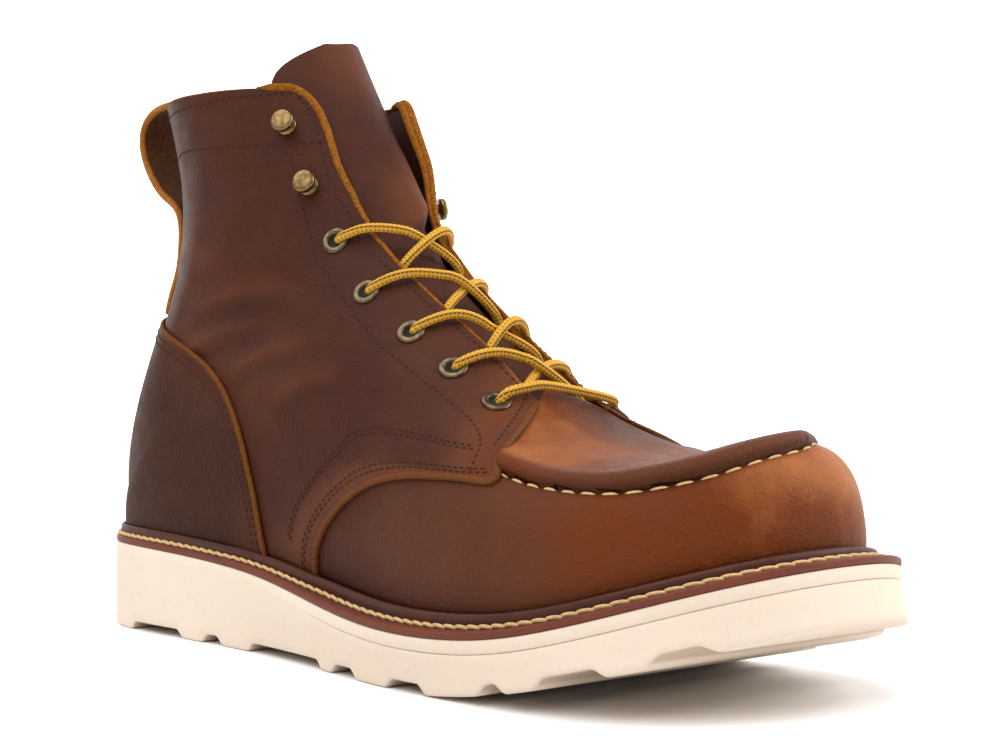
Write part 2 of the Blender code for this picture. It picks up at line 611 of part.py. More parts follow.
def from_side(x, z, side):
    # Row u and girth share v of the surface point that stands at x, z in side view
    rows = np.linspace(4, COLLAR_ROW, 521)
    at = section_values(rows)
    run_x, run_z = at["far_x"] - at["ridge_x"], at["far_z"] - at["ridge_z"]
    turn = run_x * (z - at["ridge_z"]) - run_z * (x - at["ridge_x"])
    swap = np.nonzero(np.diff(np.sign(turn)))[0][-1]
    u = rows[swap] + (rows[swap + 1] - rows[swap]) * turn[swap] / (turn[swap] - turn[swap + 1])
    points, arc = section(np.array([u]), side)
    ridge, far = points[0, 0, ::2], points[0, -1, ::2]
    along = (points[0][:, ::2] - ridge) @ (far - ridge)
    here = (np.array([x, z]) - ridge) @ (far - ridge)
    return u, np.interp(here, along, arc[0]) / arc[0, -1]


def build_counter():
    # Rows straight in side view, from equal steps along the front and top edge back to the seam
    edge = np.array(COUNTER_EDGE)
    fine = np.linspace(0, len(edge) - 1, 91)
    line = np.column_stack([spline(edge[:, 0], fine), 0 * fine, spline(edge[:, 1], fine)])
    back = section_values(np.linspace(HEEL_ROW, COLLAR_ROW, 101))
    ways = np.linspace(0, 1, 41)
    outer, inner = [], []
    for share, (x, _, z) in zip(np.linspace(0, 1, COUNTER_ROWS + 1), evenly(line, COUNTER_ROWS)):
        back_z = COUNTER_BACK[0] + (COUNTER_BACK[1] - COUNTER_BACK[0]) * share
        back_x = np.interp(back_z, back["far_z"], back["far_x"])
        rows = []
        for side in (-1, 1):
            u, v = np.array([from_side(x + (back_x - x) * w, z + (back_z - z) * w, side) for w in ways]).T
            v[-1] = 1
            row = evenly(surface(u, v, side), COUNTER_STEPS)
            u, v = np.array([from_side(spot[0], spot[2], side) for spot in row]).T
            normal = outward(u, np.minimum(v, 1), side)
            normal[-1, 1] = 0
            rows.append((row + normal * COUNTER_OUTSIDE, row + normal * COUNTER_INSIDE))
        (left_out, left_in), (right_out, right_in) = rows
        outer.append(np.vstack([left_out, right_out[-2::-1]]))
        inner.append(np.vstack([left_in, right_in[-2::-1]]))
    points, faces = thick_grid(outer, inner)
    return add_part("counter", points, faces, "counter", 0.55)


def build_strap():
    wide = np.linspace(-1, 1, 5) * STRAP_HALF
    middle, facing = [], []
    for u in STRAP_SEAM_U:
        row, turn = [], []
        for y in wide:
            side = -1 if y < 0 else 1
            share = 1 - abs(y) / girth(u, side)[0]
            row.append(surface(u, share, side))
            turn.append((-1.0, y / 26.0, 0.0))
        middle.append(np.array(row))
        facing.append(np.array(turn))
    bow = np.array(STRAP_BOW)
    path = np.vstack([[middle[-1][2][[0, 2]]], bow])
    way = np.gradient(path, axis=0)[1:]
    way /= np.linalg.norm(way, axis=1)[:, None]
    rings = []
    low = QUARTER_OUTSIDE + GAP + 0.4
    high = low + STRAP_THICK
    for row, turn in zip(middle, facing):
        turn = turn / np.linalg.norm(turn, axis=1)[:, None]
        rings.append(np.vstack([row + turn * high, (row + turn * low)[::-1]]))
    for (x, z), (along, up) in zip(bow, way):
        out = np.array([-up, 0.0, along])
        row = np.column_stack([np.full(5, x), wide, np.full(5, z)])
        rings.append(np.vstack([row + out * STRAP_THICK / 2, (row - out * STRAP_THICK / 2)[::-1]]))
    points, faces = loft(rings)
    return add_part("pull_loop", points, faces, "strap", 0.8)


def turned(name, centre, normal, profile, colour, rough, sides=12):
    # Solid turned about the normal from a closed profile of radius and height, a ring when no radius is 0
    normal = normal / np.linalg.norm(normal)
    first = np.cross(normal, (0.3, 0.2, 1.0))
    first /= np.linalg.norm(first)
    second = np.cross(normal, first)
    solid = profile[0][0] == 0
    body = profile[1:-1] if solid else profile
    rings = []
    for k in range(sides):
        angle = 2 * math.pi * k / sides
        spoke = first * math.cos(angle) + second * math.sin(angle)
        rings.append([centre + spoke * r + normal * h for r, h in body])
    if not solid:
        points, faces = loft(rings, closed=True)
        return add_part(name, points, faces, colour, rough, 1.0)
    count = len(body)
    points = [p for ring in rings for p in ring]
    faces = []
    for k in range(sides):
        n = (k + 1) % sides
        for i in range(count - 1):
            faces.append((k * count + i, k * count + i + 1, n * count + i + 1, n * count + i))
    faces.append(tuple(k * count for k in range(sides)))
    faces.append(tuple(k * count + count - 1 for k in range(sides - 1, -1, -1)))
    return add_part(name, points, faces, colour, rough, 1.0)


def build_fittings():
    # Profiles from the underside up: radius, height
    ring = ((EYELET_HOLE, 0), (EYELET_RADIUS, 0), (EYELET_RADIUS - 0.4, EYELET_HIGH - 0.2),
            (EYELET_HOLE + 0.5, EYELET_HIGH))
    stud = ((0, 0), (3.0, 0), (3.0, 0.7), (1.7, 0.9), (1.7, 3.2), (HOOK_CAP_RADIUS, 3.4),
            (HOOK_CAP_RADIUS, 4.7), (2.5, 5.4), (0, 5.4))
    for side, word in ((-1, "lateral"), (1, "medial")):
        for kind, table, profile in (("eyelet", EYELETS, ring), ("hook", HOOKS, stud)):
            for k, (u, v, lateral, medial) in enumerate(table):
                if kind == "hook" and side > 0:
                    v += MEDIAL_HOOK_SHIFT
                spot, normal = placed(u, v, side, lateral if side < 0 else medial)
                turned("%s_%s_%d" % (kind, word, k + 1), spot, normal, profile, "brass", 0.35)


def tube(path, radius, sides=8):
    path = np.array(path, float)
    way = np.gradient(path, axis=0)
    way /= np.linalg.norm(way, axis=1)[:, None]
    rings = []
    for spot, along in zip(path, way):
        first = np.cross(along, (0.0, 0.35, 1.0))
        first /= np.linalg.norm(first)
        second = np.cross(along, first)
        angles = 2 * math.pi * np.arange(sides) / sides
        rings.append(spot + radius * (np.outer(np.cos(angles), first) + np.outer(np.sin(angles), second)))
    return loft(rings)


def lace_height(seat):
    return seat + EYELET_HIGH + 2 * GAP + LACE_RADIUS


def lace_path(u_from, v_from, seat, side, u_to, reach):
    # From above an eyelet over its eyestay's edge to the gap beside the opposite edge
    high = lace_height(seat)
    low = TONGUE_OUTSIDE + GAP + LACE_RADIUS + 0.3
    throat = float(np.interp(u_from, THROAT_U, THROAT_V))
    spots = [placed(u_from, v_from, side, high)[0]]
    spots.append(placed(u_from + (u_to - u_from) * 0.15, throat * 1.25, side, high + 0.6)[0])
    spots.append(placed(u_from + (u_to - u_from) * 0.33, throat * 0.6, side, high - 0.4)[0])
    middle, normal = placed(u_from + (u_to - u_from) * 0.5, 0.012, side, 0)
    spots.append(middle + normal * (low + 2.2))
    far_u = u_from + (u_to - u_from) * 0.66
    far_throat = float(np.interp(far_u, THROAT_U, THROAT_V))
    spots.append(placed(far_u, far_throat * reach, -side, low + 0.4)[0])
    return np.array(spots)


def smooth_path(spots, count):
    steps = np.linspace(0, len(spots) - 1, count)
    return np.column_stack([spline(spots[:, k], steps) for k in range(3)])


def joined(first, second):
    modifier = first.modifiers.new("join", "BOOLEAN")
    modifier.operation = "UNION"
    modifier.solver = "EXACT"
    modifier.object = second
    bpy.context.view_layer.objects.active = first
    bpy.ops.object.modifier_apply(modifier=modifier.name)
    bpy.data.objects.remove(second)
    return first


def build_lace():
    for k in range(len(EYELETS) - 1):
        u, v, lateral, medial = EYELETS[k]
        next_u = EYELETS[k + 1][0]
        halves = []
        for side, seat in ((-1, lateral), (1, medial)):
            path = smooth_path(lace_path(u, v, seat, side, next_u, LACE_REACH), 11)
            halves.append(add_part("lace_%d_%d" % (k, side), *tube(path, LACE_RADIUS), "lace", 0.8))
        crossing = joined(*halves)
        crossing.name = "lace_crossing_%d" % (k + 1)
        crossing.data.name = crossing.name
    u, v, lateral, medial = EYELETS[-1]
    high, low = lace_height(lateral), lace_height(medial)
    spots = [placed(u, v, -1, high)[0], placed(u, v * 0.5, -1, high + 0.3)[0], placed(u, 0.012, -1, high)[0],
             placed(u, v * 0.5, 1, low + 0.3)[0], placed(u, v, 1, low)[0]]
    add_part("lace_bar", *tube(smooth_path(np.array(spots), 13), LACE_RADIUS), "lace", 0.8)


def centre_all():
    # The origin goes to the middle of the box round all parts, on the floor
    parts = list(bpy.data.objects)
    corners = np.array([tuple(v.co) for part in parts for v in part.data.vertices])
    low, high = corners.min(0), corners.max(0)
    shift = np.array([(low[0] + high[0]) / 2, (low[1] + high[1]) / 2, low[2]])
    for part in parts:
        for v in part.data.vertices:
            v.co = np.array(v.co) - shift
    print("box", np.round((high - low) / MM, 2), "shift", np.round(shift / MM, 3))


for leftover in list(bpy.data.objects):
    bpy.data.objects.remove(leftover)
build_sole()
build_welt()
build_upper()
build_tongue()
build_counter()
build_strap()
build_fittings()
build_lace()
centre_all()
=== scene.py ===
import math

import bpy
import numpy as np
from mathutils import Matrix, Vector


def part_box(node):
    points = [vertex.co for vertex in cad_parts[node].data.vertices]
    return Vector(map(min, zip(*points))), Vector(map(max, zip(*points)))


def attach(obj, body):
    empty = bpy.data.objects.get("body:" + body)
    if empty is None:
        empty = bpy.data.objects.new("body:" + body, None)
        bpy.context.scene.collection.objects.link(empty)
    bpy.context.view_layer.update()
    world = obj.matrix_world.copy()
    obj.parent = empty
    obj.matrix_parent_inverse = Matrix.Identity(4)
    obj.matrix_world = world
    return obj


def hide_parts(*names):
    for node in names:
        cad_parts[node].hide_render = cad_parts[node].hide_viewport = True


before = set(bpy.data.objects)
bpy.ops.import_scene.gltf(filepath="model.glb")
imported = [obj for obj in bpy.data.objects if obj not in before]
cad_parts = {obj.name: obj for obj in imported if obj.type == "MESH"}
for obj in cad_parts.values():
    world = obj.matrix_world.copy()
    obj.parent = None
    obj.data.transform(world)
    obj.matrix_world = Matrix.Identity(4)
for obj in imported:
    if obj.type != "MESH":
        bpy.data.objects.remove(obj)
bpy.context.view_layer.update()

# The boot is worked out in millimetres: x from heel to toe, y to the medial side, z up from the floor.
# The sole's heel end and the pull loop, midways across, give its place in the row.
heelEnd = -0.5
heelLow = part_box("outsole")[0]
loopLow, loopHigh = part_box("pull_loop")
place = np.array([heelEnd - 1000 * heelLow.x, -500 * (loopLow.y + loopHigh.y), 0.0])


def inRow(points):
    # millimetres of the boot as metres of the row
    return (np.asarray(points, float) - place) * 0.001


def unit(vectors):
    # each vector divided by its length
    return vectors / np.linalg.norm(vectors, axis=-1, keepdims=True)


def turnedTo(right, up, back, spot):
    # matrix of an object with these three axes at a spot
    turn = np.eye(4)
    turn[:3] = np.stack([right, up, back, spot], 1)
    return Matrix(turn.tolist())


# Camera, the photo's angle: azimuth and elevation of the view, distance to its target, focal length in pixels
view = dict(azimuth=48.33, elevation=-1.14, distance=541.4, focal=1741.25, imageWidth=1000, sensor=36.0,
            target=(157.7, 21.9, 84.62), roll=-0.17)


def addCamera():
    # the eye stands back from its target along the view and is turned by the roll
    a, e, r = np.radians([view["azimuth"], view["elevation"], view["roll"]])
    back = np.array([math.sin(a) * math.cos(e), -math.cos(a) * math.cos(e), math.sin(e)])
    right = unit(np.cross(-back, (0, 0, 1)))
    up = np.cross(right, -back)
    right, up = math.cos(r) * right + math.sin(r) * up, math.cos(r) * up - math.sin(r) * right
    lens = bpy.data.cameras.new("camera")
    lens.sensor_width = view["sensor"]
    lens.lens = view["sensor"] * view["focal"] / view["imageWidth"]
    lens.clip_start = 0.01
    eye = bpy.data.objects.new("camera", lens)
    spot = inRow(np.array(view["target"]) + back * view["distance"])
    eye.matrix_world = turnedTo(right, up, back, spot)
    bpy.context.scene.collection.objects.link(eye)
    bpy.context.scene.camera = eye


# Last: rows from the toe tip (0) over the heel corner (12) to the collar (17), from the ridge to the far end,
# which lies on the feather line up to row 12 and on the back seam after it
lastColumns = ("ridgeX", "ridgeZ", "farX", "farZ", "lat", "med", "footLat", "footMed",
               "widest", "top", "low", "centre", "bulge")
lastRows = np.array([
    (288.0, 66.0, 298.0, 0.0, 0.0, 0.0, 0.0, 0.0, 0.68, 4.0, 2.6, 6.0, 4.5),
    (284.5, 66.0, 295.2, 0.0, 18.5, 16.5, 17.0, 15.0, 0.68, 4.0, 2.6, 6.0, 4.0),
    (276.5, 64.5, 287.0, 0.0, 33.5, 30.0, 31.0, 27.5, 0.68, 4.0, 2.6, 5.5, 2.5),
    (263.0, 62.0, 273.0, 0.0, 44.5, 39.5, 41.5, 37.0, 0.68, 3.8, 2.6, 5.0, 1.0),
    (246.0, 61.5, 252.0, 0.0, 50.0, 45.5, 47.5, 43.5, 0.68, 3.4, 2.6, 4.0, 0.0),
    (227.0, 66.0, 224.0, 0.0, 51.0, 47.0, 48.5, 46.0, 0.68, 2.9, 2.6, 3.0, 0.0),
    (207.0, 75.5, 192.0, 0.0, 48.0, 44.5, 45.5, 43.5, 0.68, 2.5, 2.5, 2.0, 0.0),
    (190.0, 89.0, 152.0, 0.0, 42.5, 38.0, 38.5, 36.0, 0.66, 2.4, 2.4, 1.0, 0.0),
    (175.0, 101.0, 106.0, 0.0, 39.5, 36.0, 34.5, 32.0, 0.60, 2.4, 2.4, 0.5, 0.0),
    (162.5, 111.5, 61.0, 0.0, 39.0, 36.0, 34.5, 33.0, 0.58, 2.4, 2.4, 0.0, 0.0),
    (154.0, 119.5, 29.0, 0.0, 38.5, 36.5, 31.8, 30.8, 0.58, 2.4, 2.5, 0.0, 0.0),
    (148.0, 126.0, 11.0, 0.0, 38.0, 36.5, 20.8, 20.0, 0.58, 2.4, 2.5, 0.0, 0.0),
    (143.0, 131.5, 4.5, 31.7, 37.5, 36.5, 0.0, 0.0, 0.58, 2.4, 2.2, 0.0, 0.0),
    (137.0, 140.5, -0.5, 54.0, 36.5, 36.0, 0.0, 0.0, 0.56, 2.4, 1.8, 0.0, 0.0),
    (131.0, 149.0, 11.0, 84.0, 35.0, 35.0, 0.0, 0.0, 0.53, 2.4, 1.6, 0.0, 0.0),
    (125.0, 158.0, 23.5, 114.0, 33.5, 33.5, 0.0, 0.0, 0.50, 2.4, 1.6, 0.0, 0.0),
    (119.0, 167.0, 28.5, 146.0, 33.0, 33.0, 0.0, 0.0, 0.50, 2.4, 1.7, 0.0, 0.0),
    (112.5, 176.0, 24.5, 179.5, 34.0, 34.0, 0.0, 0.0, 0.50, 2.4, 2.0, 0.0, 0.0),
])
featherStep = 30.0   # feather line's height above the floor, one value every 30 mm from the heel
featherHeights = (31.8, 31.6, 30.6, 28.8, 26.0, 21.8, 18.6, 18.0, 20.5, 27.5, 37.2)
heelRow, collarRow = 12, 17


def eased(t):
    # smooth step from 0 to 1
    t = np.clip(t, 0, 1)
    return t * t * (3 - 2 * t)


def splined(values, u, flatStart=False, flatEnd=False):
    # cubic spline through values at 0, 1, 2 ..., natural or level at its ends
    values = np.asarray(values, float)
    count = len(values)
    matrix, right = np.zeros((count, count)), np.zeros(count)
    inner = np.arange(1, count - 1)
    matrix[inner, inner - 1], matrix[inner, inner], matrix[inner, inner + 1] = 1, 4, 1
    right[1:-1] = 6 * (values[:-2] - 2 * values[1:-1] + values[2:])
    matrix[0, :2] = (2, 1) if flatStart else (1, 0)
    right[0] = 6 * (values[1] - values[0]) if flatStart else 0
    matrix[-1, -2:] = (1, 2) if flatEnd else (0, 1)
    right[-1] = 6 * (values[-2] - values[-1]) if flatEnd else 0
    bend = np.linalg.solve(matrix, right)
    u = np.asarray(u, float)
    low = np.clip(np.floor(u).astype(int), 0, count - 2)
    t = u - low
    curve = (bend[low] * (1 - t) ** 3 + bend[low + 1] * t ** 3) / 6
    return curve + (values[low] - bend[low] / 6) * (1 - t) + (values[low + 1] - bend[low + 1] / 6) * t


def featherZ(x):
    # spline through the heights of the feather line
    return splined(featherHeights, np.clip(np.asarray(x, float) / featherStep, 0, 10.3))


def lastValues(u):
    # every column of the table at the rows u
    column = {name: lastRows[:, k] for k, name in enumerate(lastColumns)}
    level = ("ridgeX", "ridgeZ", "widest", "top", "low", "centre", "bulge")
    at = {name: splined(column[name], u, flatStart=True) for name in level}
    at["lat"], at["med"] = splined(column["lat"], u), splined(column["med"], u)
    foot = u <= heelRow
    footU, backU = np.minimum(u, heelRow), np.maximum(u - heelRow, 0)
    footX = splined(column["farX"][:heelRow + 1], footU, True, True)
    at["farX"] = np.where(foot, footX, splined(column["farX"][heelRow:], backU))
    at["farZ"] = np.where(foot, featherZ(footX), splined(column["farZ"][heelRow:], backU))
    for name in ("footLat", "footMed"):
        at[name] = np.where(foot, np.maximum(splined(column[name][:heelRow + 1], footU), 0), 0)
    return at


def lastSection(u, side, count=257):
    # superellipse halves from the ridge to the far end of each row, with their arc lengths
    at = {name: value[:, None] for name, value in lastValues(np.asarray(u, float)).items()}
    half = np.maximum(at["lat"] if side < 0 else at["med"], 0.001)
    foot = at["footLat"] if side < 0 else at["footMed"]
    way = np.linspace(0, 1, count)[None]
    first = np.clip(way * 2, 0, 1) * math.pi / 2
    second = np.clip(way * 2 - 1, 0, 1) * math.pi / 2
    top, low, widest = at["top"], at["low"], at["widest"]
    tuck = 1 - np.clip(foot / half, 0, 1) ** low
    sunk = np.sin(second) ** (2 / low)
    along = np.where(way <= 0.5, widest * (1 - np.cos(first) ** (2 / top)), widest + (1 - widest) * sunk)
    out = np.where(way <= 0.5, np.sin(first) ** (2 / top), np.clip(1 - tuck * sunk ** low, 0, 1) ** (1 / low))
    runX, runZ = at["farX"] - at["ridgeX"], at["farZ"] - at["ridgeZ"]
    length = np.hypot(runX, runZ)
    swell = at["bulge"] * np.sin(math.pi * along ** 0.8)
    x = at["ridgeX"] + runX * along - runZ / length * swell
    z = at["ridgeZ"] + runZ * along + runX / length * swell
    points = np.stack([x, at["centre"] + side * half * out, z], -1)
    steps = np.linalg.norm(np.diff(points, axis=1), axis=2)
    return points, np.concatenate([np.zeros((len(points), 1)), np.cumsum(steps, axis=1)], 1)


# Pattern lines on the last: u counts the rows, v is the share of the girth from the ridge
seamV = (0.05, 0.24, 0.394, 0.505, 0.57, 0.602, 0.61, 0.592, 0.563, 0.534, 0.502, 0.47, 0.44, 0.42, 0.40)
# vamp edge from the ridge, quarter front from the third point
edgeLine = np.array([(6.35, 0.0), (6.2, 0.05), (6.05, 0.094), (5.62, 0.25), (5.22, 0.45), (5.08, 0.50),
                     (5.0, 0.545), (5.42, 0.551), (5.9, 0.558), (6.36, 0.576), (6.76, 0.614), (7.06, 0.678),
                     (7.25, 0.78), (7.29, 0.89), (7.22, 1.0)])
throatRow, seamRow = 2, 5
throatU = (5.0, 6.05, 7.0, 8.0, 9.0, 10.5, 12.3, 13.3, 14.5, 16.2, 17.0)
throatV = (0.094, 0.094, 0.081, 0.086, 0.082, 0.081, 0.077, 0.088, 0.112, 0.131, 0.150)


def seamShare(u):
    # moc seam at the rows u
    return splined(seamV, np.clip(u, 0, 7) * 2)


def throatShare(u):
    # throat edge at the rows u
    return np.interp(u, throatU, throatV)


# The medial pattern lies differently: shift of v at rows u, at the toe's seam and at the throat edge
medialToeU = (0.0, 0.25, 0.5, 1.0, 1.5, 2.0, 2.5, 3.0, 3.5, 4.2)
medialToeShift = (0.0, -0.06, -0.12, -0.20, -0.22, -0.21, -0.17, -0.12, -0.06, 0.0)
medialThroatU = (4.8, 5.4, 6.0, 7.0, 8.0, 9.0, 10.5, 12.3, 14.5, 16.2, 17.0)
medialThroatShift = (0.0, 0.06, 0.13, 0.10, 0.055, 0.030, 0.015, 0.012, 0.025, 0.060, 0.065)
medialThroatEnd = 0.47   # the throat's shift fades out at this share


def patternShare(u, v, side):
    # girth share of a pattern point: as drawn on the lateral side, shifted on the medial side
    seam, throat = seamShare(u), throatShare(u)
    toe = np.interp(u, medialToeU, medialToeShift) * np.clip(np.minimum(v / seam, (1 - v) / (1 - seam)), 0, 1)
    fade = (medialThroatEnd - v) / (medialThroatEnd - throat)
    edge = np.interp(u, medialThroatU, medialThroatShift) * np.clip(np.minimum(v / throat, fade), 0, 1)
    return np.where(side > 0, v + toe + edge, v)


# The last as a fine table for both sides, with its outward normals: u by rows, v by share of the girth
tableU, tableV = np.linspace(0, collarRow, 681), np.linspace(0, 1, 321)
flare = dict(high=4.2, start=12.4, run=2.6, edge=0.19, fade=0.13)


def medialFlare(u, share, side):
    # the medial eyestay opens outwards towards the collar: full at the throat edge, fading round the side
    up = eased((u - flare["start"]) / flare["run"])
    roundSide = eased((share - flare["edge"]) / flare["fade"])
    return np.where(np.asarray(side) > 0, flare["high"] * up * (1 - roundSide), 0.0)


def lastTable(side):
    # points at equal shares of each row's girth, normals across their steps, and the girths
    points, arc = lastSection(tableU, side)
    grid = np.stack([np.stack([np.interp(tableV, run / run[-1], line[:, k]) for k in range(3)], -1)
                     for line, run in zip(points, arc)])
    normal = np.cross(np.gradient(grid, axis=1), np.gradient(grid, axis=0)) * side
    normal[0, :, 1] = 0          # the two sides meet smoothly at the toe,
    normal[:, 0, 1] = 0          # on the ridge
    normal[tableU >= heelRow, -1, 1] = 0   # and on the back seam
    normal = unit(normal)
    grid = grid + normal * medialFlare(tableU[:, None], tableV[None], side)[..., None]
    return grid, normal, arc[:, -1]


lastTables = [lastTable(side) for side in (-1, 1)]
lastGrid = np.stack([t[0] for t in lastTables])
lastNormal = np.stack([t[1] for t in lastTables])
lastGirth = np.stack([t[2] for t in lastTables])


def looked(tables, u, v, side):
    # bilinear reading of a table at rows u and girth shares v, side -1 lateral or 1 medial
    u, v, side = np.broadcast_arrays(np.asarray(u, float), np.asarray(v, float), np.asarray(side))
    v = patternShare(u, v, side)
    fu = np.clip(u / collarRow, 0, 1) * (len(tableU) - 1)
    fv = np.clip(v, 0, 1) * (len(tableV) - 1)
    iu, iv = np.minimum(fu.astype(int), len(tableU) - 2), np.minimum(fv.astype(int), len(tableV) - 2)
    tu, tv = (fu - iu)[..., None], (fv - iv)[..., None]
    k = (side > 0).astype(int)
    near = tables[k, iu, iv] * (1 - tv) + tables[k, iu, iv + 1] * tv
    far = tables[k, iu + 1, iv] * (1 - tv) + tables[k, iu + 1, iv + 1] * tv
    return near * (1 - tu) + far * tu


def skin(u, v, side, offset=0.0):
    # points of the last moved outwards along its normals
    return looked(lastGrid, u, v, side) + skinNormal(u, v, side) * np.asarray(offset, float)[..., None]


def skinNormal(u, v, side):
    # outward normals of the last
    return unit(looked(lastNormal, u, v, side))


def girth(u, side):
    # length of the rows u from the ridge to their far end
    lateral, medial = (np.interp(u, tableU, lengths) for lengths in lastGirth)
    return np.where(np.asarray(side) > 0, medial, lateral)


def fromSide(x, z, side):
    # rows u and girth shares v of the surface points that stand at x, z in side view
    x, z = np.asarray(x, float), np.asarray(z, float)
    rows = np.linspace(4, collarRow, 521)
    at = lastValues(rows)
    runX, runZ = at["farX"] - at["ridgeX"], at["farZ"] - at["ridgeZ"]
    turn = runX * (z[:, None] - at["ridgeZ"]) - runZ * (x[:, None] - at["ridgeX"])
    swaps = np.diff(np.sign(turn), axis=1) != 0
    last = swaps.shape[1] - 1 - np.argmax(swaps[:, ::-1], axis=1)
    k = np.arange(len(x))
    u = rows[last] + (rows[last + 1] - rows[last]) * turn[k, last] / (turn[k, last] - turn[k, last + 1])
    points, arc = lastSection(u, side)
    ridge, far = points[:, 0, ::2], points[:, -1, ::2]
    along = np.einsum("nkc,nc->nk", points[:, :, ::2] - ridge[:, None], far - ridge)
    here = np.einsum("nc,nc->n", np.stack([x, z], 1) - ridge, far - ridge)
    i = np.clip((along < here[:, None]).sum(1), 1, along.shape[1] - 1)
    t = np.clip((here - along[k, i - 1]) / np.maximum(along[k, i] - along[k, i - 1], 1e-9), 0, 1)
    return u, (arc[k, i - 1] + (arc[k, i] - arc[k, i - 1]) * t) / arc[:, -1]


def arcOf(line):
    # length along a line of points
    return np.concatenate([[0], np.cumsum(np.linalg.norm(np.diff(line, axis=0), axis=1))])


def spaced(line, count):
    # the same line of points at equal distances
    line = np.asarray(line, float)
    arc = arcOf(line)
    at = np.linspace(0, arc[-1], count)
    return np.stack([np.interp(at, arc, line[:, k]) for k in range(line.shape[1])], 1)


def curveThrough(points, count):
    # cubic spline through a few given points
    points = np.asarray(points, float)
    at = np.linspace(0, len(points) - 1, count)
    return np.stack([splined(points[:, k], at) for k in range(points.shape[1])], 1)


def nearest(points, line):
    # distance of each point to a line of points, in blocks
    flat = points.reshape(-1, 3)
    blocks = np.array_split(flat, max(len(flat) // 4000, 1))
    far = [np.sqrt(((block[:, None] - line[None]) ** 2).sum(2).min(1)) for block in blocks]
    return np.concatenate(far).reshape(points.shape[:-1])


def runLength(points, axis):
    # length along a grid's lines from its first point
    steps = np.linalg.norm(np.diff(points, axis=axis), axis=2)
    zero = np.zeros_like(np.take(steps, [0], axis=axis))
    return np.concatenate([zero, np.cumsum(steps, axis=axis)], axis)


def rounded(far, radius):
    # drop of a rounded edge at a distance from it: quarter circle
    t = np.clip(1 - far / radius, 0, 1)
    return radius * (1 - np.sqrt(1 - t * t))


def dense(count, near=0.0016):
    # shares from 0 to 1, closer together at both ends
    ends = near * np.array([0, 1, 2.2, 3.8, 6, 9])
    return np.concatenate([ends, np.linspace(ends[-1], 1 - ends[-1], count)[1:-1], 1 - ends[::-1]])


def gridQuads(rows, columns, wrap=False):
    # faces between neighbouring points of a grid, closed round its columns if wrapped
    i, j = np.meshgrid(np.arange(rows - 1), np.arange(columns if wrap else columns - 1), indexing="ij")
    n = (j + 1) % columns
    quads = np.stack([i * columns + j, (i + 1) * columns + j, (i + 1) * columns + n, i * columns + n], -1)
    return quads.reshape(-1, 4)


def addPiece(name, points, quads, material, values=None, cornerUv=None, weld=0.0):
    # mesh with its point attributes and thread coordinates; weld closes its poles
    mesh = bpy.data.meshes.new(name)
    mesh.from_pydata(inRow(points).tolist(), [], np.asarray(quads).tolist())
    for key, value in (values or {}).items():
        layer = mesh.attributes.new(key, "FLOAT", "POINT")
        layer.data.foreach_set("value", np.ascontiguousarray(value, np.float32).ravel())
    if cornerUv is not None:
        layer = mesh.uv_layers.new(name="thread")
        layer.data.foreach_set("uv", np.ascontiguousarray(cornerUv, np.float32).ravel())
    mesh.polygons.foreach_set("use_smooth", np.ones(len(mesh.polygons), bool))
    mesh.materials.append(material)
    piece = bpy.data.objects.new(name, mesh)
    bpy.context.scene.collection.objects.link(piece)
    if weld:
        merge = piece.modifiers.new("weld", "WELD")
        merge.merge_threshold = weld
        bpy.context.view_layer.objects.active = piece
        bpy.ops.object.modifier_apply(modifier=merge.name)
    mesh.update()
    return piece


def shell(outer, inner, wrap=False):
    # closed wall between two grids: both faces and a rim all round
    rows, columns = outer.shape[:2]
    count = rows * columns
    face = gridQuads(rows, columns, wrap)
    index = np.arange(count).reshape(rows, columns)
    lines = [index[0], index[-1][::-1]]
    lines += [] if wrap else [index[::-1, 0], index[:, -1]]
    rims = []
    for line in lines:
        a, b = (line, np.roll(line, -1)) if wrap else (line[:-1], line[1:])
        rims.append(np.stack([a, b, b + count, a + count], 1))
    quads = np.concatenate([face, face[:, ::-1] + count] + rims)
    normal = np.cross(np.gradient(outer, axis=0), np.gradient(outer, axis=1))
    if (normal * (outer - inner)).sum() < 0:
        quads = quads[:, ::-1]
    return np.concatenate([outer.reshape(-1, 3), inner.reshape(-1, 3)]), quads


def bothFaces(tone, shade, edge=0.0, liningTone=0.3, liningEdge=0.0):
    # attributes of a shell: those of its outer grid, then those of its inner grid
    zero = 0 * tone
    return {"tone": np.stack([tone, zero + liningTone]), "edge": np.stack([zero + edge, zero + liningEdge]),
            "shade": np.stack([zero + shade, zero])}


def facingOut(points, quads):
    # the faces of a closed mesh, turned round where its volume comes out below zero
    a, b, c, d = np.moveaxis(points[quads], 1, 0)
    volume = (np.cross(a, b) * c).sum() + (np.cross(a, c) * d).sum()
    return quads if volume > 0 else quads[:, ::-1]


def joined(parts):
    # several meshes as one: points, faces counted on, then what else comes with them
    starts = np.cumsum([0] + [len(part[0]) for part in parts])
    parts = [(points, quads + start, *rest) for (points, quads, *rest), start in zip(parts, starts)]
    return [np.concatenate(group) for group in zip(*parts)]


def wear(piece, slot, *nodes):
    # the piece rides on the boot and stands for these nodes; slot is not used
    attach(piece, "root")
    if nodes:
        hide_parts(*nodes)
    return piece


# Material helpers
def node(tree, kind, inputs=None, **settings):
    # a node with its settings; inputs are sockets or values
    made = tree.nodes.new(kind)
    for key, value in settings.items():
        setattr(made, key, value)
    for key, value in (inputs or {}).items():
        if isinstance(value, bpy.types.NodeSocket):
            tree.links.new(value, made.inputs[key])
        else:
            made.inputs[key].default_value = value
    return made


def maths(tree, operation, a, b=0.0, c=0.0):
    # one sum on sockets or values
    return node(tree, "ShaderNodeMath", {0: a, 1: b, 2: c}, operation=operation).outputs[0]


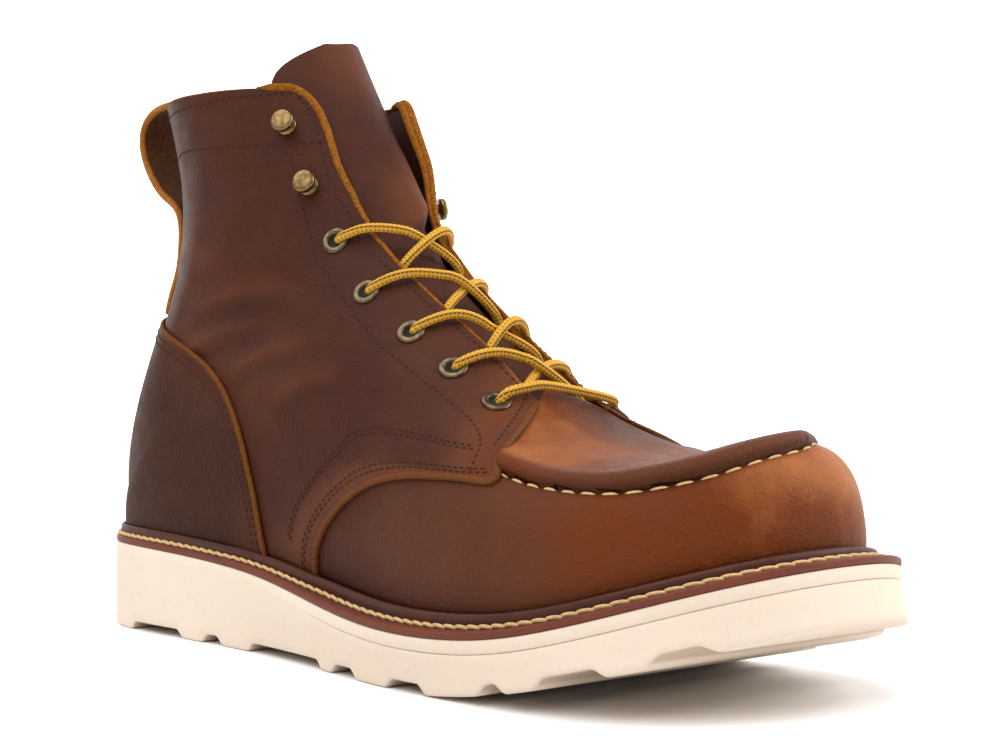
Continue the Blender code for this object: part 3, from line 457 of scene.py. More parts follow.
def mixed(tree, share, a, b, blend="MIX"):
    # two colours mixed by a share
    made = node(tree, "ShaderNodeMix", {0: share, 6: a, 7: b}, data_type="RGBA", blend_type=blend)
    return made.outputs[2]


def noised(tree, coords, size, detail=3.0, rough=0.55):
    # cloudy noise of a size in metres
    return node(tree, "ShaderNodeTexNoise", {"Vector": coords, "Scale": 1.0 / size, "Detail": detail,
                                             "Roughness": rough}).outputs["Fac"]


def celled(tree, coords, size):
    # distance to the middle of cells of a size in metres
    return node(tree, "ShaderNodeTexVoronoi", {"Vector": coords, "Scale": 1.0 / size}).outputs["Distance"]


def ranged(tree, value, low, high, newLow, newHigh):
    # one range mapped to another
    limits = {"Value": value, 1: low, 2: high, 3: newLow, 4: newHigh}
    return node(tree, "ShaderNodeMapRange", limits).outputs[0]


def attribute(tree, name):
    # the piece's own attribute
    return node(tree, "ShaderNodeAttribute", attribute_name=name).outputs["Fac"]


def started(name):
    # material with its shader and Object coordinates
    material = bpy.data.materials.new(name)
    material.use_nodes = True
    tree = material.node_tree
    coords = node(tree, "ShaderNodeTexCoord").outputs["Object"]
    return material, tree, tree.nodes["Principled BSDF"], coords


def join(tree, socket, shader, name):
    # link to the shader's input
    tree.links.new(socket, shader.inputs[name])


def bumped(tree, shader, height, distance, strength=1.0):
    # height as bump
    made = node(tree, "ShaderNodeBump", {"Height": height, "Distance": distance, "Strength": strength})
    join(tree, made.outputs[0], shader, "Normal")


def colour(r, g, b):
    # linear colour
    return (r, g, b, 1.0)


# Leather: tone runs from dark oiled brown to pulled tan, edge turns to raw suede, shade is painted shade that
# darkens folds
# light, the ramp's top, is reached mostly by painted highlights; fold is the colour of the painted shade
leather = dict(dark=colour(0.058, 0.0180, 0.0105), middle=colour(0.120, 0.037, 0.0155),
               tan=colour(0.152, 0.034, 0.006), light=colour(0.37, 0.125, 0.036),
               dust=colour(0.42, 0.27, 0.17), fold=colour(0.012, 0.0045, 0.003),
               suede=colour(0.46, 0.165, 0.018), suedeDark=colour(0.15, 0.045, 0.006),
               grain=0.0009, pore=0.0004, rough=0.48, gloss=0.085)


def leatherMaterial(name, dark=None, middle=None, rough=None, gloss=None):
    # tone moved by clouds and flecks picks the colour, then pores, shade and suede over it
    material, tree, shader, coords = started(name)
    tone = attribute(tree, "tone")
    cloud = noised(tree, coords, 0.045, 4.0, 0.6)
    fleck = noised(tree, coords, 0.007, 4.0, 0.7)
    # place on the ramp: tone, with its painted highlights on toe and plug, moved by clouds and flecks
    rampPlace = maths(tree, "MULTIPLY_ADD", cloud, 0.9, -0.45)
    rampPlace = maths(tree, "MULTIPLY_ADD", fleck, 0.28, maths(tree, "ADD", rampPlace, -0.14))
    rampPlace = maths(tree, "MULTIPLY_ADD", rampPlace, 0.72, tone)
    ramp = node(tree, "ShaderNodeValToRGB", {"Fac": rampPlace})
    ramp.color_ramp.elements[0].color = dark or leather["dark"]
    ramp.color_ramp.elements[1].color = leather["light"]
    ramp.color_ramp.elements.new(0.45).color = middle or leather["middle"]
    ramp.color_ramp.elements.new(0.74).color = leather["tan"]
    grain = celled(tree, coords, leather["grain"])
    pore = noised(tree, coords, leather["pore"], 2.0)
    dust = ranged(tree, pore, 0.3, 0.75, 0.0, 0.22)
    dusty = mixed(tree, dust, ramp.outputs[0], leather["dust"], "SOFT_LIGHT")
    shaded = mixed(tree, attribute(tree, "shade"), dusty, leather["fold"])
    fuzz = noised(tree, coords, 0.0009, 4.0, 0.7)
    suede = mixed(tree, ranged(tree, fuzz, 0.32, 0.68, 0.0, 1.0), leather["suedeDark"], leather["suede"])
    edge = attribute(tree, "edge")
    join(tree, mixed(tree, edge, shaded, suede), shader, "Base Color")
    rough = rough or leather["rough"]
    smooth = ranged(tree, fleck, 0.3, 0.7, rough - 0.06, rough + 0.10)
    join(tree, maths(tree, "MULTIPLY_ADD", edge, 0.4, smooth), shader, "Roughness")
    shader.inputs["Specular IOR Level"].default_value = gloss or leather["gloss"]
    fine = maths(tree, "MULTIPLY_ADD", grain, 0.55, maths(tree, "MULTIPLY", pore, 0.5))
    nap = maths(tree, "MULTIPLY_ADD", fuzz, maths(tree, "MULTIPLY", edge, 3.0), fine)
    bumped(tree, shader, nap, 0.00036, 0.9)
    return material


print("boot: table of the last", lastGrid.shape)

seamPath = np.concatenate([skin(u, seamShare(u), side) for u, side in
                           ((np.linspace(5.2, 0, 260), -1), (np.linspace(0.02, 5.2, 260), 1))])


def creased(points, folds):
    # soft troughs in side view, each from x0, z0 to x1, z1 with a half width, a depth and a ridge beside it
    drop = np.zeros(points.shape[:-1])
    for x0, z0, x1, z1, wide, deep in folds:
        way = np.array([x1 - x0, z1 - z0])
        length = np.linalg.norm(way)
        way = way / length
        along = (points[..., 0] - x0) * way[0] + (points[..., 2] - z0) * way[1]
        across = (points[..., 2] - z0) * way[0] - (points[..., 0] - x0) * way[1]
        across = across - 0.06 * length * np.sin(math.pi * np.clip(along / length, 0, 1))
        fade = eased(along / (0.3 * length)) * eased((length - along) / (0.3 * length))
        trough, ridge = np.exp(-(across / wide) ** 2), np.exp(-((across - 1.9 * wide) / wide) ** 2)
        drop += fade * deep * (trough - 0.6 * ridge)
    return drop


def vampTone(points):
    # tan at the toe with a painted highlight in front, darker towards the quarters and the welt
    x, y, z = np.moveaxis(points, -1, 0)
    tone = 0.01 + 0.27 * eased((x - 145) / 70) + 0.44 * eased((x - 215) / 60)
    # glow: painted highlight on the upper part of the toe, where the key light falls
    glow = 0.23 * eased((y + 40) / 40) * eased((x - 258) / 28) * eased((z - 43) / 18)
    return tone + glow - 0.10 * eased((34 - z) / 14)


# Vamp wall from the moc seam to the feather line, round the toe
vamp = dict(steps=260, lines=58, outside=-0.6, inside=-2.4, under=0.3, channel=0.5)


def vampGrid(lines, rows):
    # signed way from the lateral edge (-1) over the toe (0) to the medial edge (1), lines of the edge table
    a = np.linspace(-1, 1, vamp["steps"] + 1)[:, None]
    at = rows[0] + (rows[1] - rows[0]) * lines[None]
    edgeU = np.interp(at, np.arange(len(edgeLine)), edgeLine[:, 0])
    edgeV = np.interp(at, np.arange(len(edgeLine)), edgeLine[:, 1])
    return a, edgeU, edgeV


def buildVamp(material):
    # grid along the toe and down from the seam, laid on the last with a channel at the seam
    lines = dense(vamp["lines"])
    a, edgeU, edgeV = vampGrid(lines, (seamRow, len(edgeLine) - 1))
    u = np.abs(a) * (edgeU + vamp["under"])
    side = np.where(a < 0, -1, 1) + 0 * u
    seam, edgeSeam = seamShare(u), seamShare(edgeU)
    share = lines[None] + ((edgeV - edgeSeam) / (1 - edgeSeam) - lines[None]) * np.abs(a)
    v = seam + (1 - seam) * np.clip(share, 0, 1)
    bare = skin(u, v, side)
    far = nearest(bare, seamPath)
    offset = vamp["outside"] - vamp["channel"] * np.exp(-(far / 1.6) ** 2)
    outer, inner = skin(u, v, side, offset), skin(u, v, side, vamp["inside"] + 0 * u)
    points, quads = shell(outer, inner)
    aboveWelt = np.clip(bare[..., 2] - featherZ(bare[..., 0]) - 2.5, 0, 99)
    shade = 0.55 * np.exp(-(far / 1.3) ** 2) + 0.5 * np.exp(-aboveWelt / 1.6)
    values = bothFaces(vampTone(bare), shade)
    return wear(addPiece("vamp", points, quads, material, values), "upper", "upper")


# Plug inside the moc seam with its rolled lip
plug = dict(lines=70, lip=3.1, setback=2.5, outside=-0.6, inside=-2.4)


def buildPlug(material):
    # grid along the toe and in from the seam, its lip rising as a quarter circle and fading out
    lines = 1 - dense(plug["lines"], 0.0035)
    a, edgeU, edgeV = vampGrid(lines, (0, seamRow))
    u = np.abs(a) * edgeU
    side = np.where(a < 0, -1, 1) + 0 * u
    share = lines[None] + (edgeV / seamShare(edgeU) - lines[None]) * np.abs(a)
    v = seamShare(u) * np.clip(share, 0, 1)
    bare = skin(u, v, side)
    far = nearest(bare, seamPath)
    rise = np.sqrt(1 - np.clip(1 - far / plug["setback"], 0, 1) ** 2)
    fall = np.where(far > plug["setback"], (far - plug["setback"]) / plug["setback"], 0)
    lip = plug["lip"] * rise * (1 + fall) * np.exp(-fall)
    outer, inner = skin(u, v, side, plug["outside"] + lip), skin(u, v, side, plug["inside"] + 0 * u)
    points, quads = shell(outer, inner)
    x, y = bare[..., 0], bare[..., 1]
    # the plug's high tone is partly a painted highlight on its lateral side
    tone = 0.90 - 0.20 * eased((x - 225) / 40) - 0.28 * np.exp(-((far - 1.5) / 3.4) ** 2)
    # painted shade: the plug's medial side darkened behind the toe
    tone = tone - 0.72 * eased((y + 8) / 24) * eased((248 - x) / 30)
    values = bothFaces(tone, 0.45 * np.exp(-(far / 0.9) ** 2))
    return wear(addPiece("plug", points, quads, material, values, weld=0.00001), "upper")


# Quarters from the front edge to the collar: outside leather and a lining with raw edges
quarter = dict(lines=118, steps=170, outside=0.45, inside=-2.4, overlap=-0.55, edgeRadius=0.7, corner=5.0,
               rowLength=10.5)
quarterFolds = (   # x0, z0, x1, z1, half width, depth
    (62.0, 84.0, 118.0, 96.0, 3.2, 0.7), (70.0, 99.0, 130.0, 103.0, 3.6, 0.6),
    (92.0, 78.0, 140.0, 88.0, 3.0, 0.5), (40.0, 116.0, 92.0, 112.0, 4.0, 0.5),
    (120.0, 70.0, 158.0, 78.0, 3.4, 0.45),
)


def quarterGrid(line, way):
    # lines of the front edge carried back to the collar
    back = edgeLine[throatRow:]
    at = line[None] * (len(back) - 1)
    backU = np.interp(at, np.arange(len(back)), back[:, 0])
    backV = np.interp(at, np.arange(len(back)), back[:, 1])
    backThroat = throatShare(backU)
    fromShare = np.where(line[None] <= 0, 0, np.clip((backV - backThroat) / (1 - backThroat), 0, 1))
    end = collarRow - rounded(line[None] * girth(collarRow, -1), quarter["corner"]) / quarter["rowLength"]
    u = backU + (end - backU) * way[:, None]
    throat = throatShare(u)
    return u, throat + (1 - throat) * (fromShare + (line[None] - fromShare) * way[:, None])


def buildQuarter(side, word, material):
    # grid on the last with rounded edges and folds, thin where it lies over the vamp
    line, way = dense(quarter["lines"]), dense(quarter["steps"])
    u, v = quarterGrid(line, way)
    bare = skin(u, v, side)
    front, throat = runLength(bare, 0), runLength(bare, 1)
    collar = front[-1:] - front
    free = np.minimum(np.minimum(front, throat), collar)
    drop = creased(bare, quarterFolds)
    offset = quarter["outside"] - rounded(free, quarter["edgeRadius"]) - drop
    under = eased((front - 5.0) / 4.0)
    inside = quarter["overlap"] + (quarter["inside"] - quarter["overlap"]) * under
    outer, inner = skin(u, v, side, offset), skin(u, v, side, inside)
    points, quads = shell(outer, inner)
    x, z = bare[..., 0], bare[..., 2]
    tone = 0.02 + 0.03 * np.exp(-((x - 120) / 60) ** 2 - ((z - 88) / 22) ** 2) + 0.16 * eased((x - 150) / 60)
    tone = tone + 0.42 * np.exp(-((front - 9) / 10) ** 2) * eased((x - 70) / 30)
    tone = tone + 0.14 * np.exp(-((x - 75) / 40) ** 2 - ((z - 82) / 26) ** 2)
    tone = tone + 0.55 * np.clip(-drop, 0, 1)
    edge = np.exp(-(free / 0.55) ** 4)
    lining = np.exp(-(np.minimum(throat, collar) / 1.2) ** 4)
    values = bothFaces(tone, 0.25 * np.clip(drop, 0, 1), edge, 0.12, np.maximum(edge, lining))
    return wear(addPiece("quarter_" + word, points, quads, material, values), "upper")


# Heel counter, straight rows in side view from its front and top edge to the back seam
counter = dict(rows=64, steps=52, outside=1.9, inside=0.5, edgeRadius=0.8, back=(34.4, 107.4))
counterEdge = ((115.4, 29.6), (114.6, 43.0), (111.4, 54.5), (106.2, 67.0), (97.5, 78.5), (85.0, 87.5),
               (68.0, 95.2), (49.0, 101.8), (33.5, 105.6), (23.6, 106.9))


def counterGrid():
    # rows from the edge to the back seam on one side and on to the other edge
    edge = spaced(curveThrough(counterEdge, 181), counter["rows"])
    share = np.linspace(0, 1, counter["rows"])
    backZ = counter["back"][0] + (counter["back"][1] - counter["back"][0]) * share
    at = lastValues(np.linspace(heelRow, collarRow, 201))
    backX = np.interp(backZ, at["farZ"], at["farX"])
    back = np.sin(np.linspace(0.026, 1, counter["steps"]) * math.pi / 2)
    way = np.concatenate([[0, 0.004, 0.009, 0.016], back])
    x = edge[:, :1] + (backX[:, None] - edge[:, :1]) * way
    z = edge[:, 1:] + (backZ[:, None] - edge[:, 1:]) * way
    halves = []
    for side in (-1, 1):
        u, v = fromSide(x.ravel(), z.ravel(), side)
        v = v.reshape(x.shape)
        v[:, -1] = 1
        halves.append((u.reshape(x.shape), v, np.full(x.shape, side)))
    return [np.concatenate([a, b[:, -2::-1]], 1) for a, b in zip(*halves)]


def buildCounter(material):
    # wall over the quarters with rounded edges
    u, v, side = counterGrid()
    bare = skin(u, v, side)
    run = runLength(bare, 1)
    rows = runLength(bare, 0)
    free = np.minimum(np.minimum(run, run[:, -1:] - run), rows[-1:] - rows)
    offset = counter["outside"] - rounded(free, counter["edgeRadius"])
    outer, inner = skin(u, v, side, offset), skin(u, v, side, counter["inside"] + 0 * u)
    points, quads = shell(outer, inner)
    tone = 0.04 + 0.16 * np.exp(-free / 9.0)
    x, z = bare[..., 0], bare[..., 2]
    tone = tone + 0.40 * np.exp(-((x - 10) / 14) ** 2 - ((z - 64) / 15) ** 2)   # lighter patch at the back
    tone = tone - 0.22 * np.exp(-((x - 72) / 26) ** 2 - ((z - 50) / 16) ** 2)   # darker patch at the side
    edge = np.exp(-(free / 0.75) ** 4)
    low = np.exp(-np.clip(z - featherZ(x) - 3, 0, 99) / 2.5)
    values = bothFaces(tone, 0.5 * low, edge, 0.0, edge)
    return wear(addPiece("heel_counter", points, quads, material, values), "counter", "counter")


# Tongue: u and half width along the girth, then its free end above the collar, fuller on the medial side
tongue = dict(outside=-4.5, thick=2.2, rise=21.8, lean=-0.60, slope=0.35, across=61, body=120, end=44,
              power=(1.85, 5.8), tip=0.13, tipRun=14.0, root=(1.0, 0.5), least=0.8, fill=4.0,
              fillHeight=143.0)
tongueU = (5.75, 6.4, 7.2, 8.2, 9.4, 10.8, 12.2, 13.4, 14.6, 15.8, 17.0)
tongueHalf = (20.0, 23.0, 25.0, 26.0, 27.0, 28.0, 29.0, 30.0, 30.5, 30.5, 30.0)


def buildTongue(material):
    # grid across and up the throat, its end a power curve that leans back
    t = np.sin(np.linspace(-1, 1, tongue["across"]) * math.pi / 2)[None]
    share = 1 - (1 - np.linspace(0, 1, tongue["end"] + 1)[1:, None]) ** 1.6
    u = np.concatenate([np.linspace(tongueU[0], collarRow, tongue["body"])[:, None], collarRow + 0 * share])
    rise = tongue["rise"] * np.concatenate([np.zeros((tongue["body"], 1)), share])
    half = np.interp(u, tongueU, tongueHalf) + 0 * t
    part = np.where(t < 0, tongue["power"][0], tongue["power"][1])
    root = np.where(t < 0, tongue["root"][0], tongue["root"][1])
    half[tongue["body"]:] = np.maximum(tongueHalf[-1] * (1 - share ** part) ** root, tongue["least"])
    v = np.abs(t) * half / girth(u, np.where(t < 0, -1, 1))
    side = np.where(t < 0, -1, 1) + 0 * u
    rise = rise * (1 + tongue["tip"] * eased(np.maximum(t, 0) * half / tongue["tipRun"]))
    lift = rise[..., None] * np.array([tongue["lean"], 0, 1])
    opened = medialFlare(u, patternShare(u, v, side), side)
    bare = skin(u, v, side, -opened) + lift
    y, z = bare[..., 1], bare[..., 2]
    high, middle = z - tongue["slope"] * y, tongue["fillHeight"]
    fold = 1.3 * np.exp(-((high - 128) / 2.8) ** 2) - 0.8 * np.exp(-((high - 134) / 3.4) ** 2)
    fold = fold * eased((y + 8) / 14) + 0.5 * np.exp(-((high - 116) / 3.0) ** 2) * eased((y + 12) / 20)
    full = np.exp(-((z - middle) / np.where(z < middle, 13, 24)) ** 2) * eased((y + 6) / 14)
    full = full * (0.4 + 0.6 * eased((throatShare(u) - v) / 0.04))
    across, down = runLength(bare, 1), runLength(bare, 0)
    free = np.minimum(np.minimum(across, across[:, -1:] - across), down[-1:] - down)
    level = tongue["outside"] - opened + tongue["fill"] * full
    outer = skin(u, v, side, level - fold - rounded(free, 0.9)) + lift
    inner = skin(u, v, side, level - tongue["thick"]) + lift
    points, quads = shell(outer, inner)
    # the top of the tongue is lighter on the medial side, partly a painted highlight where the key light
    # falls
    tone = 0.02 + 0.50 * np.clip(-fold, 0, 1.3) + 0.24 * eased((z - 165) / 25) * eased((y + 14) / 20)
    tone = tone + 0.42 * np.exp(-((high - 142) / 8) ** 2) * eased((y + 8) / 12)
    values = bothFaces(tone, 0.3 * np.clip(fold, 0, 2), 0.12 * np.exp(-(free / 0.5) ** 4), 0.1, 0.6)
    return wear(addPiece("tongue_leather", points, quads, material, values), "tongue", "tongue")


leatherUpper = leatherMaterial("oiled_leather")
leatherCounter = leatherMaterial("counter_leather", dark=colour(0.050, 0.0180, 0.0095),
                                 middle=colour(0.115, 0.036, 0.015), gloss=0.045)
leatherTongue = leatherMaterial("tongue_leather", rough=0.52)
buildVamp(leatherUpper)
buildPlug(leatherUpper)
buildQuarter(-1, "lateral", leatherUpper)
buildQuarter(1, "medial", leatherUpper)
buildCounter(leatherCounter)
buildTongue(leatherTongue)
print("boot: upper, counter and tongue made")

# Pull loop: side view of the strap from the counter's top up the back and out into its bow
loop = dict(half=12.0, thick=2.8, stations=150, sides=48)
loopPath = ((15.2, 108.6), (18.0, 115.4), (22.6, 124.3), (24.2, 133.1), (24.0, 140.5), (20.0, 146.8),
            (11.0, 152.2), (2.6, 160.4), (-2.4, 169.5), (-1.8, 177.5), (5.0, 182.4), (14.5, 183.8),
            (25.0, 183.4), (32.5, 180.0), (33.5, 170.0))


def suedeMaterial():
    # raw edges, brown outside and a suede lining darkened as painted shade, by attribute
    material, tree, shader, coords = started("strap_suede")
    fuzz = noised(tree, coords, 0.0011, 5.0, 0.7)
    blotch = noised(tree, coords, 0.006, 3.0)
    nap = ranged(tree, fuzz, 0.3, 0.7, 0.0, 1.0)
    suede = mixed(tree, nap, colour(0.20, 0.062, 0.008), colour(0.50, 0.185, 0.022))
    # painted shade: the lining's suede darkened where the loop's inside lies in shade
    lining = mixed(tree, nap, colour(0.022, 0.007, 0.002), colour(0.10, 0.034, 0.008))
    brown = mixed(tree, blotch, leather["dark"], leather["middle"])
    face = attribute(tree, "tone")
    sides = mixed(tree, face, lining, brown)
    join(tree, mixed(tree, attribute(tree, "edge"), sides, suede), shader, "Base Color")
    join(tree, ranged(tree, face, 0.0, 1.0, 0.92, 0.5), shader, "Roughness")
    shader.inputs["Specular IOR Level"].default_value = 0.2
    bumped(tree, shader, fuzz, 0.0003, 0.6)
    return material


def buildLoop(material):
    # rounded strap section carried along the path
    path = spaced(curveThrough(loopPath, 300), loop["stations"])
    way = unit(np.gradient(path, axis=0))
    out = np.stack([-way[:, 1], 0 * way[:, 0], way[:, 0]], 1)
    angle = np.linspace(0, 2 * math.pi, loop["sides"], endpoint=False)
    across = np.sign(np.cos(angle)) * np.abs(np.cos(angle)) ** 0.2 * loop["half"]
    thick = np.sign(np.sin(angle)) * np.abs(np.sin(angle)) ** 0.5 * loop["thick"] / 2
    centre = np.stack([path[:, 0], 0 * path[:, 0], path[:, 1]], 1)
    ring = centre[:, None] + out[:, None] * thick[None, :, None]
    ring[..., 1] += across[None]
    count, last = loop["sides"], (loop["stations"] - 1) * loop["sides"]
    quads = gridQuads(loop["stations"], count, wrap=True)
    k = np.arange(0, count // 2 - 1)
    low = np.stack([k, k + 1, count - 2 - k, count - 1 - k], 1)
    caps = [low, low[:, ::-1] + last]
    outside = eased((thick / loop["thick"] + 0.1) / 0.3)
    edge = eased((np.abs(across) / loop["half"] - 0.86) / 0.08)
    values = {"tone": np.tile(outside, loop["stations"]), "edge": np.tile(edge, loop["stations"])}
    piece = addPiece("pull_strap", ring.reshape(-1, 3), np.concatenate([quads] + caps), material, values)
    return wear(piece, "pull_loop", "pull_loop")


buildLoop(suedeMaterial())

# Sole: welt, midsole and outsole round the feather line
sole = dict(reachHeel=5.0, reachToe=8.8, reachStart=60.0, reachRun=120.0, weltClear=0.45, weltThick=2.6,
            midsole=3.7, toeSpring=21.2, springStart=205.0, springEnd=305.0, springPower=1.7,
            flare=2.0, flareStart=230.0, flareRun=70.0, treadDepth=2.7, treadWall=4.6, stations=520)
tread = ((36, 72), (82, 96), (110, 159), (163, 180), (194, 214), (233, 244), (252, 273), (280, 295))


def soleReach(x):
    # way of the sole's wall outside the feather line, wider at the toe
    wider = eased((x - sole["reachStart"]) / sole["reachRun"])
    return sole["reachHeel"] + (sole["reachToe"] - sole["reachHeel"]) * wider


def soleSpring(x):
    # power curve that lifts the toe
    run = sole["springEnd"] - sole["springStart"]
    return sole["toeSpring"] * np.clip((x - sole["springStart"]) / run, 0, None) ** sole["springPower"]


def treadRise(x):
    # recesses across the sole with sloping walls
    rise = 0 * x
    for start, end in tread:
        rise = rise + eased((x - start) / sole["treadWall"]) * eased((end - x) / sole["treadWall"])
    return sole["treadDepth"] * rise


def featherEdge(u, side, reach):
    # points at a horizontal distance outside the feather line
    here = looked(lastGrid, u, 1.0, side)
    before, after = (looked(lastGrid, np.clip(u + step, 0, heelRow), 1.0, side) for step in (0.01, -0.01))
    way = after - before
    out = np.stack([-way[:, 1], way[:, 0], 0 * u], 1) * side
    out /= np.maximum(np.linalg.norm(out, axis=1), 1e-9)[:, None]
    out[u <= 0] = (1, 0, 0)
    out[u >= heelRow] = (-1, 0, 0)
    return here + out * reach[:, None]


def soleRows():
    # rows from heel to toe, closer together at both ends
    t = np.linspace(0, math.pi, sole["stations"])
    return heelRow * (0.45 * (1 + np.cos(t)) / 2 + 0.55 * (1 - t / math.pi))


def plate(profile, across, sag=0.0):
    # closed section carried from heel to toe: lateral wall down, across the bottom, medial wall up and back
    # over the top; profile(x) lists its points as a way beyond the sole's reach and a height
    u = soleRows()
    walls = []
    for side in (-1, 1):
        hereX = looked(lastGrid, u, 1.0, side)[:, 0]
        wall = []
        for k, (extra, _) in enumerate(profile(hereX)):
            spot = featherEdge(u, side, soleReach(hereX) + extra)
            wall.append(np.column_stack([spot[:, :2], profile(spot[:, 0])[k][1]]))
        walls.append(wall)
    shares = np.linspace(0, 1, across)[1:-1]
    (topL, left), (topR, right) = [(wall[0], wall[-1]) for wall in walls]
    floor = [left + (right - left) * s for s in shares]
    floor = [np.column_stack([p[:, :2], profile(p[:, 0])[-1][1]]) for p in floor]
    roof = [topR + (topL - topR) * s for s in shares]
    roof = [np.column_stack([p[:, :2], profile(p[:, 0])[0][1] - sag]) for p in roof]
    return np.stack(walls[0] + floor + walls[1][::-1] + roof, 1)


def midTop(x):
    # height just under the welt
    return featherZ(x) - sole["weltClear"] - sole["weltThick"]


def midLow(x):
    # height of the joint below the midsole
    return midTop(x) - sole["midsole"]


def flareAt(x):
    # the wall's slope outwards at the toe
    return sole["flare"] * np.clip((x - sole["flareStart"]) / sole["flareRun"], 0, 1)


def soleBottom(x):
    # toe spring and recesses together
    return soleSpring(x) + treadRise(x)


def jointAt(x):
    # the joint between midsole and outsole opens towards the toe
    return 0.34 * eased((x - 135) / 60)


def midProfile(x):
    # wall with rounded edges and the open joint below
    top, low, joint = midTop(x), midLow(x), jointAt(x)
    return [(-0.9, top), (-0.25, top - 0.15), (0, top - 0.6), (0, low + 0.5), (-0.5 * joint, low + 0.1),
            (-2.0 * joint, low)]


def wedgeProfile(x):
    # joint, sloping wall and rounded lower edge
    top, low, joint, wide = midLow(x), soleBottom(x), jointAt(x), flareAt(x)
    profile = [(-2.0 * joint, top), (-0.5 * joint, top - 0.1), (0, top - 0.5)]
    profile += [(wide * t, top + (low - top) * t) for t in (0.2, 0.4, 0.6, 0.8)]
    return profile + [(wide, low + 0.9), (wide - 0.25, low + 0.3), (wide - 0.9, low)]


def footbedProfile(x):
    # thin plate inside the feather line
    reach, feather = soleReach(x), featherZ(x)
    return [(-reach - 4.2, feather + 2.0), (-reach - 3.9, feather + 1.2), (-reach - 3.9, feather - 2.4)]


def crepeMaterial(name, base, dirt):
    # cream with broad stains, specks and shade
    material, tree, shader, coords = started(name)
    fine = noised(tree, coords, 0.0007, 4.0, 0.7)
    broad = noised(tree, coords, 0.03, 3.0)
    speck = noised(tree, coords, 0.0022, 2.0)
    tint = mixed(tree, ranged(tree, broad, 0.35, 0.7, 0.0, 0.5), base, dirt)
    tint = mixed(tree, ranged(tree, speck, 0.62, 0.75, 0.0, 0.18), tint, colour(0.55, 0.42, 0.28))
    tint = mixed(tree, attribute(tree, "shade"), tint, colour(0.36, 0.23, 0.15))
    join(tree, tint, shader, "Base Color")
    shader.inputs["Roughness"].default_value = 0.85
    shader.inputs["Specular IOR Level"].default_value = 0.2
    bumped(tree, shader, maths(tree, "MULTIPLY_ADD", speck, 0.6, fine), 0.0002, 0.55)
    return material


def footbedMaterial():
    # plain tan leather
    material, tree, shader, coords = started("insole_leather")
    tint = mixed(tree, noised(tree, coords, 0.02, 4.0), colour(0.42, 0.24, 0.11), colour(0.55, 0.35, 0.18))
    join(tree, tint, shader, "Base Color")
    shader.inputs["Roughness"].default_value = 0.7
    bumped(tree, shader, noised(tree, coords, 0.0012), 0.0002, 0.4)
    return material


def addPlate(name, ring, material, values=None):
    # closed section as a piece, its ends welded
    quads = gridQuads(ring.shape[0], ring.shape[1], wrap=True)[:, ::-1]
    return addPiece(name, ring.reshape(-1, 3), quads, material, values, weld=0.00001)


def buildSole():
    # midsole, outsole and footbed, shaded towards the toe and in the recesses
    crepe = crepeMaterial("cream_crepe", colour(0.84, 0.71, 0.585), colour(0.81, 0.67, 0.535))
    ring = plate(midProfile, 9)
    warm = 0.13 * eased((ring[..., 0] - 150) / 80)
    wear(addPlate("midsole_band", ring, crepe, {"shade": warm}), "midsole", "midsole")
    ring = plate(wedgeProfile, 15)
    x, z = ring[..., 0], ring[..., 2]
    shade = 0.14 * eased((x - 70) / 70) * eased((235 - x) / 60) * eased((24 - z) / 20)
    shade = shade + 0.13 * eased((x - 150) / 80)
    recess = 0.6 * eased((treadRise(x) - 0.4) / 1.2) * (z < soleBottom(x) + 0.1)
    wear(addPlate("wedge_sole", ring, crepe, {"shade": np.maximum(shade, recess)}), "sole", "outsole")
    wear(addPlate("footbed", plate(footbedProfile, 15, 0.4), footbedMaterial()), "insole", "insole")


# Welt strip with its bead against the upper and the rope stitch between them
welt = dict(stations=420, beadWide=3.3, beadHigh=3.5, inset=4.0, lean=2.8, stitch=4.6, stitchLong=5.9,
            stitchWide=1.15)


def weltLoop():
    # the feather line all round: points, outward directions, and the room that the upper takes high and low
    t = np.linspace(0, math.pi, welt["stations"] // 2 + 1)
    u = heelRow * (0.45 * (1 - np.cos(t)) / 2 + 0.55 * t / math.pi)
    rows = np.concatenate([u, u[-2:0:-1]])
    side = np.concatenate([-np.ones(len(u)), np.ones(len(u) - 2)])
    here = looked(lastGrid, rows, 1.0, side)
    ahead = np.roll(here, -1, axis=0) - np.roll(here, 1, axis=0)
    out = unit(np.stack([-ahead[:, 1], ahead[:, 0], 0 * rows], 1))
    if ((here - here.mean(0)) * out).sum() < 0:
        out = -out
    share = 1 - welt["lean"] / girth(rows, side)
    lean = ((looked(lastGrid, rows, share, side) - here) * out).sum(1)
    clear = -0.5 + 1.0 * eased((rows - 6.9) / 0.4) + 1.5 * eased((rows - 8.0) / 0.3)
    return here, out, clear + np.maximum(lean, 0), clear


def weltMaterial():
    # red-brown strip and darker bead by attribute
    material, tree, shader, coords = started("welt_leather")
    cloud = noised(tree, coords, 0.012, 4.0)
    face = attribute(tree, "tone")
    strip = mixed(tree, cloud, colour(0.115, 0.027, 0.016), colour(0.20, 0.055, 0.030))
    bead = mixed(tree, cloud, colour(0.050, 0.016, 0.011), colour(0.105, 0.036, 0.024))
    join(tree, mixed(tree, face, strip, bead), shader, "Base Color")
    join(tree, ranged(tree, cloud, 0.3, 0.7, 0.42, 0.58), shader, "Roughness")
    shader.inputs["Specular IOR Level"].default_value = 0.16
    bumped(tree, shader, noised(tree, coords, 0.0006, 4.0), 0.00015, 0.5)
    return material


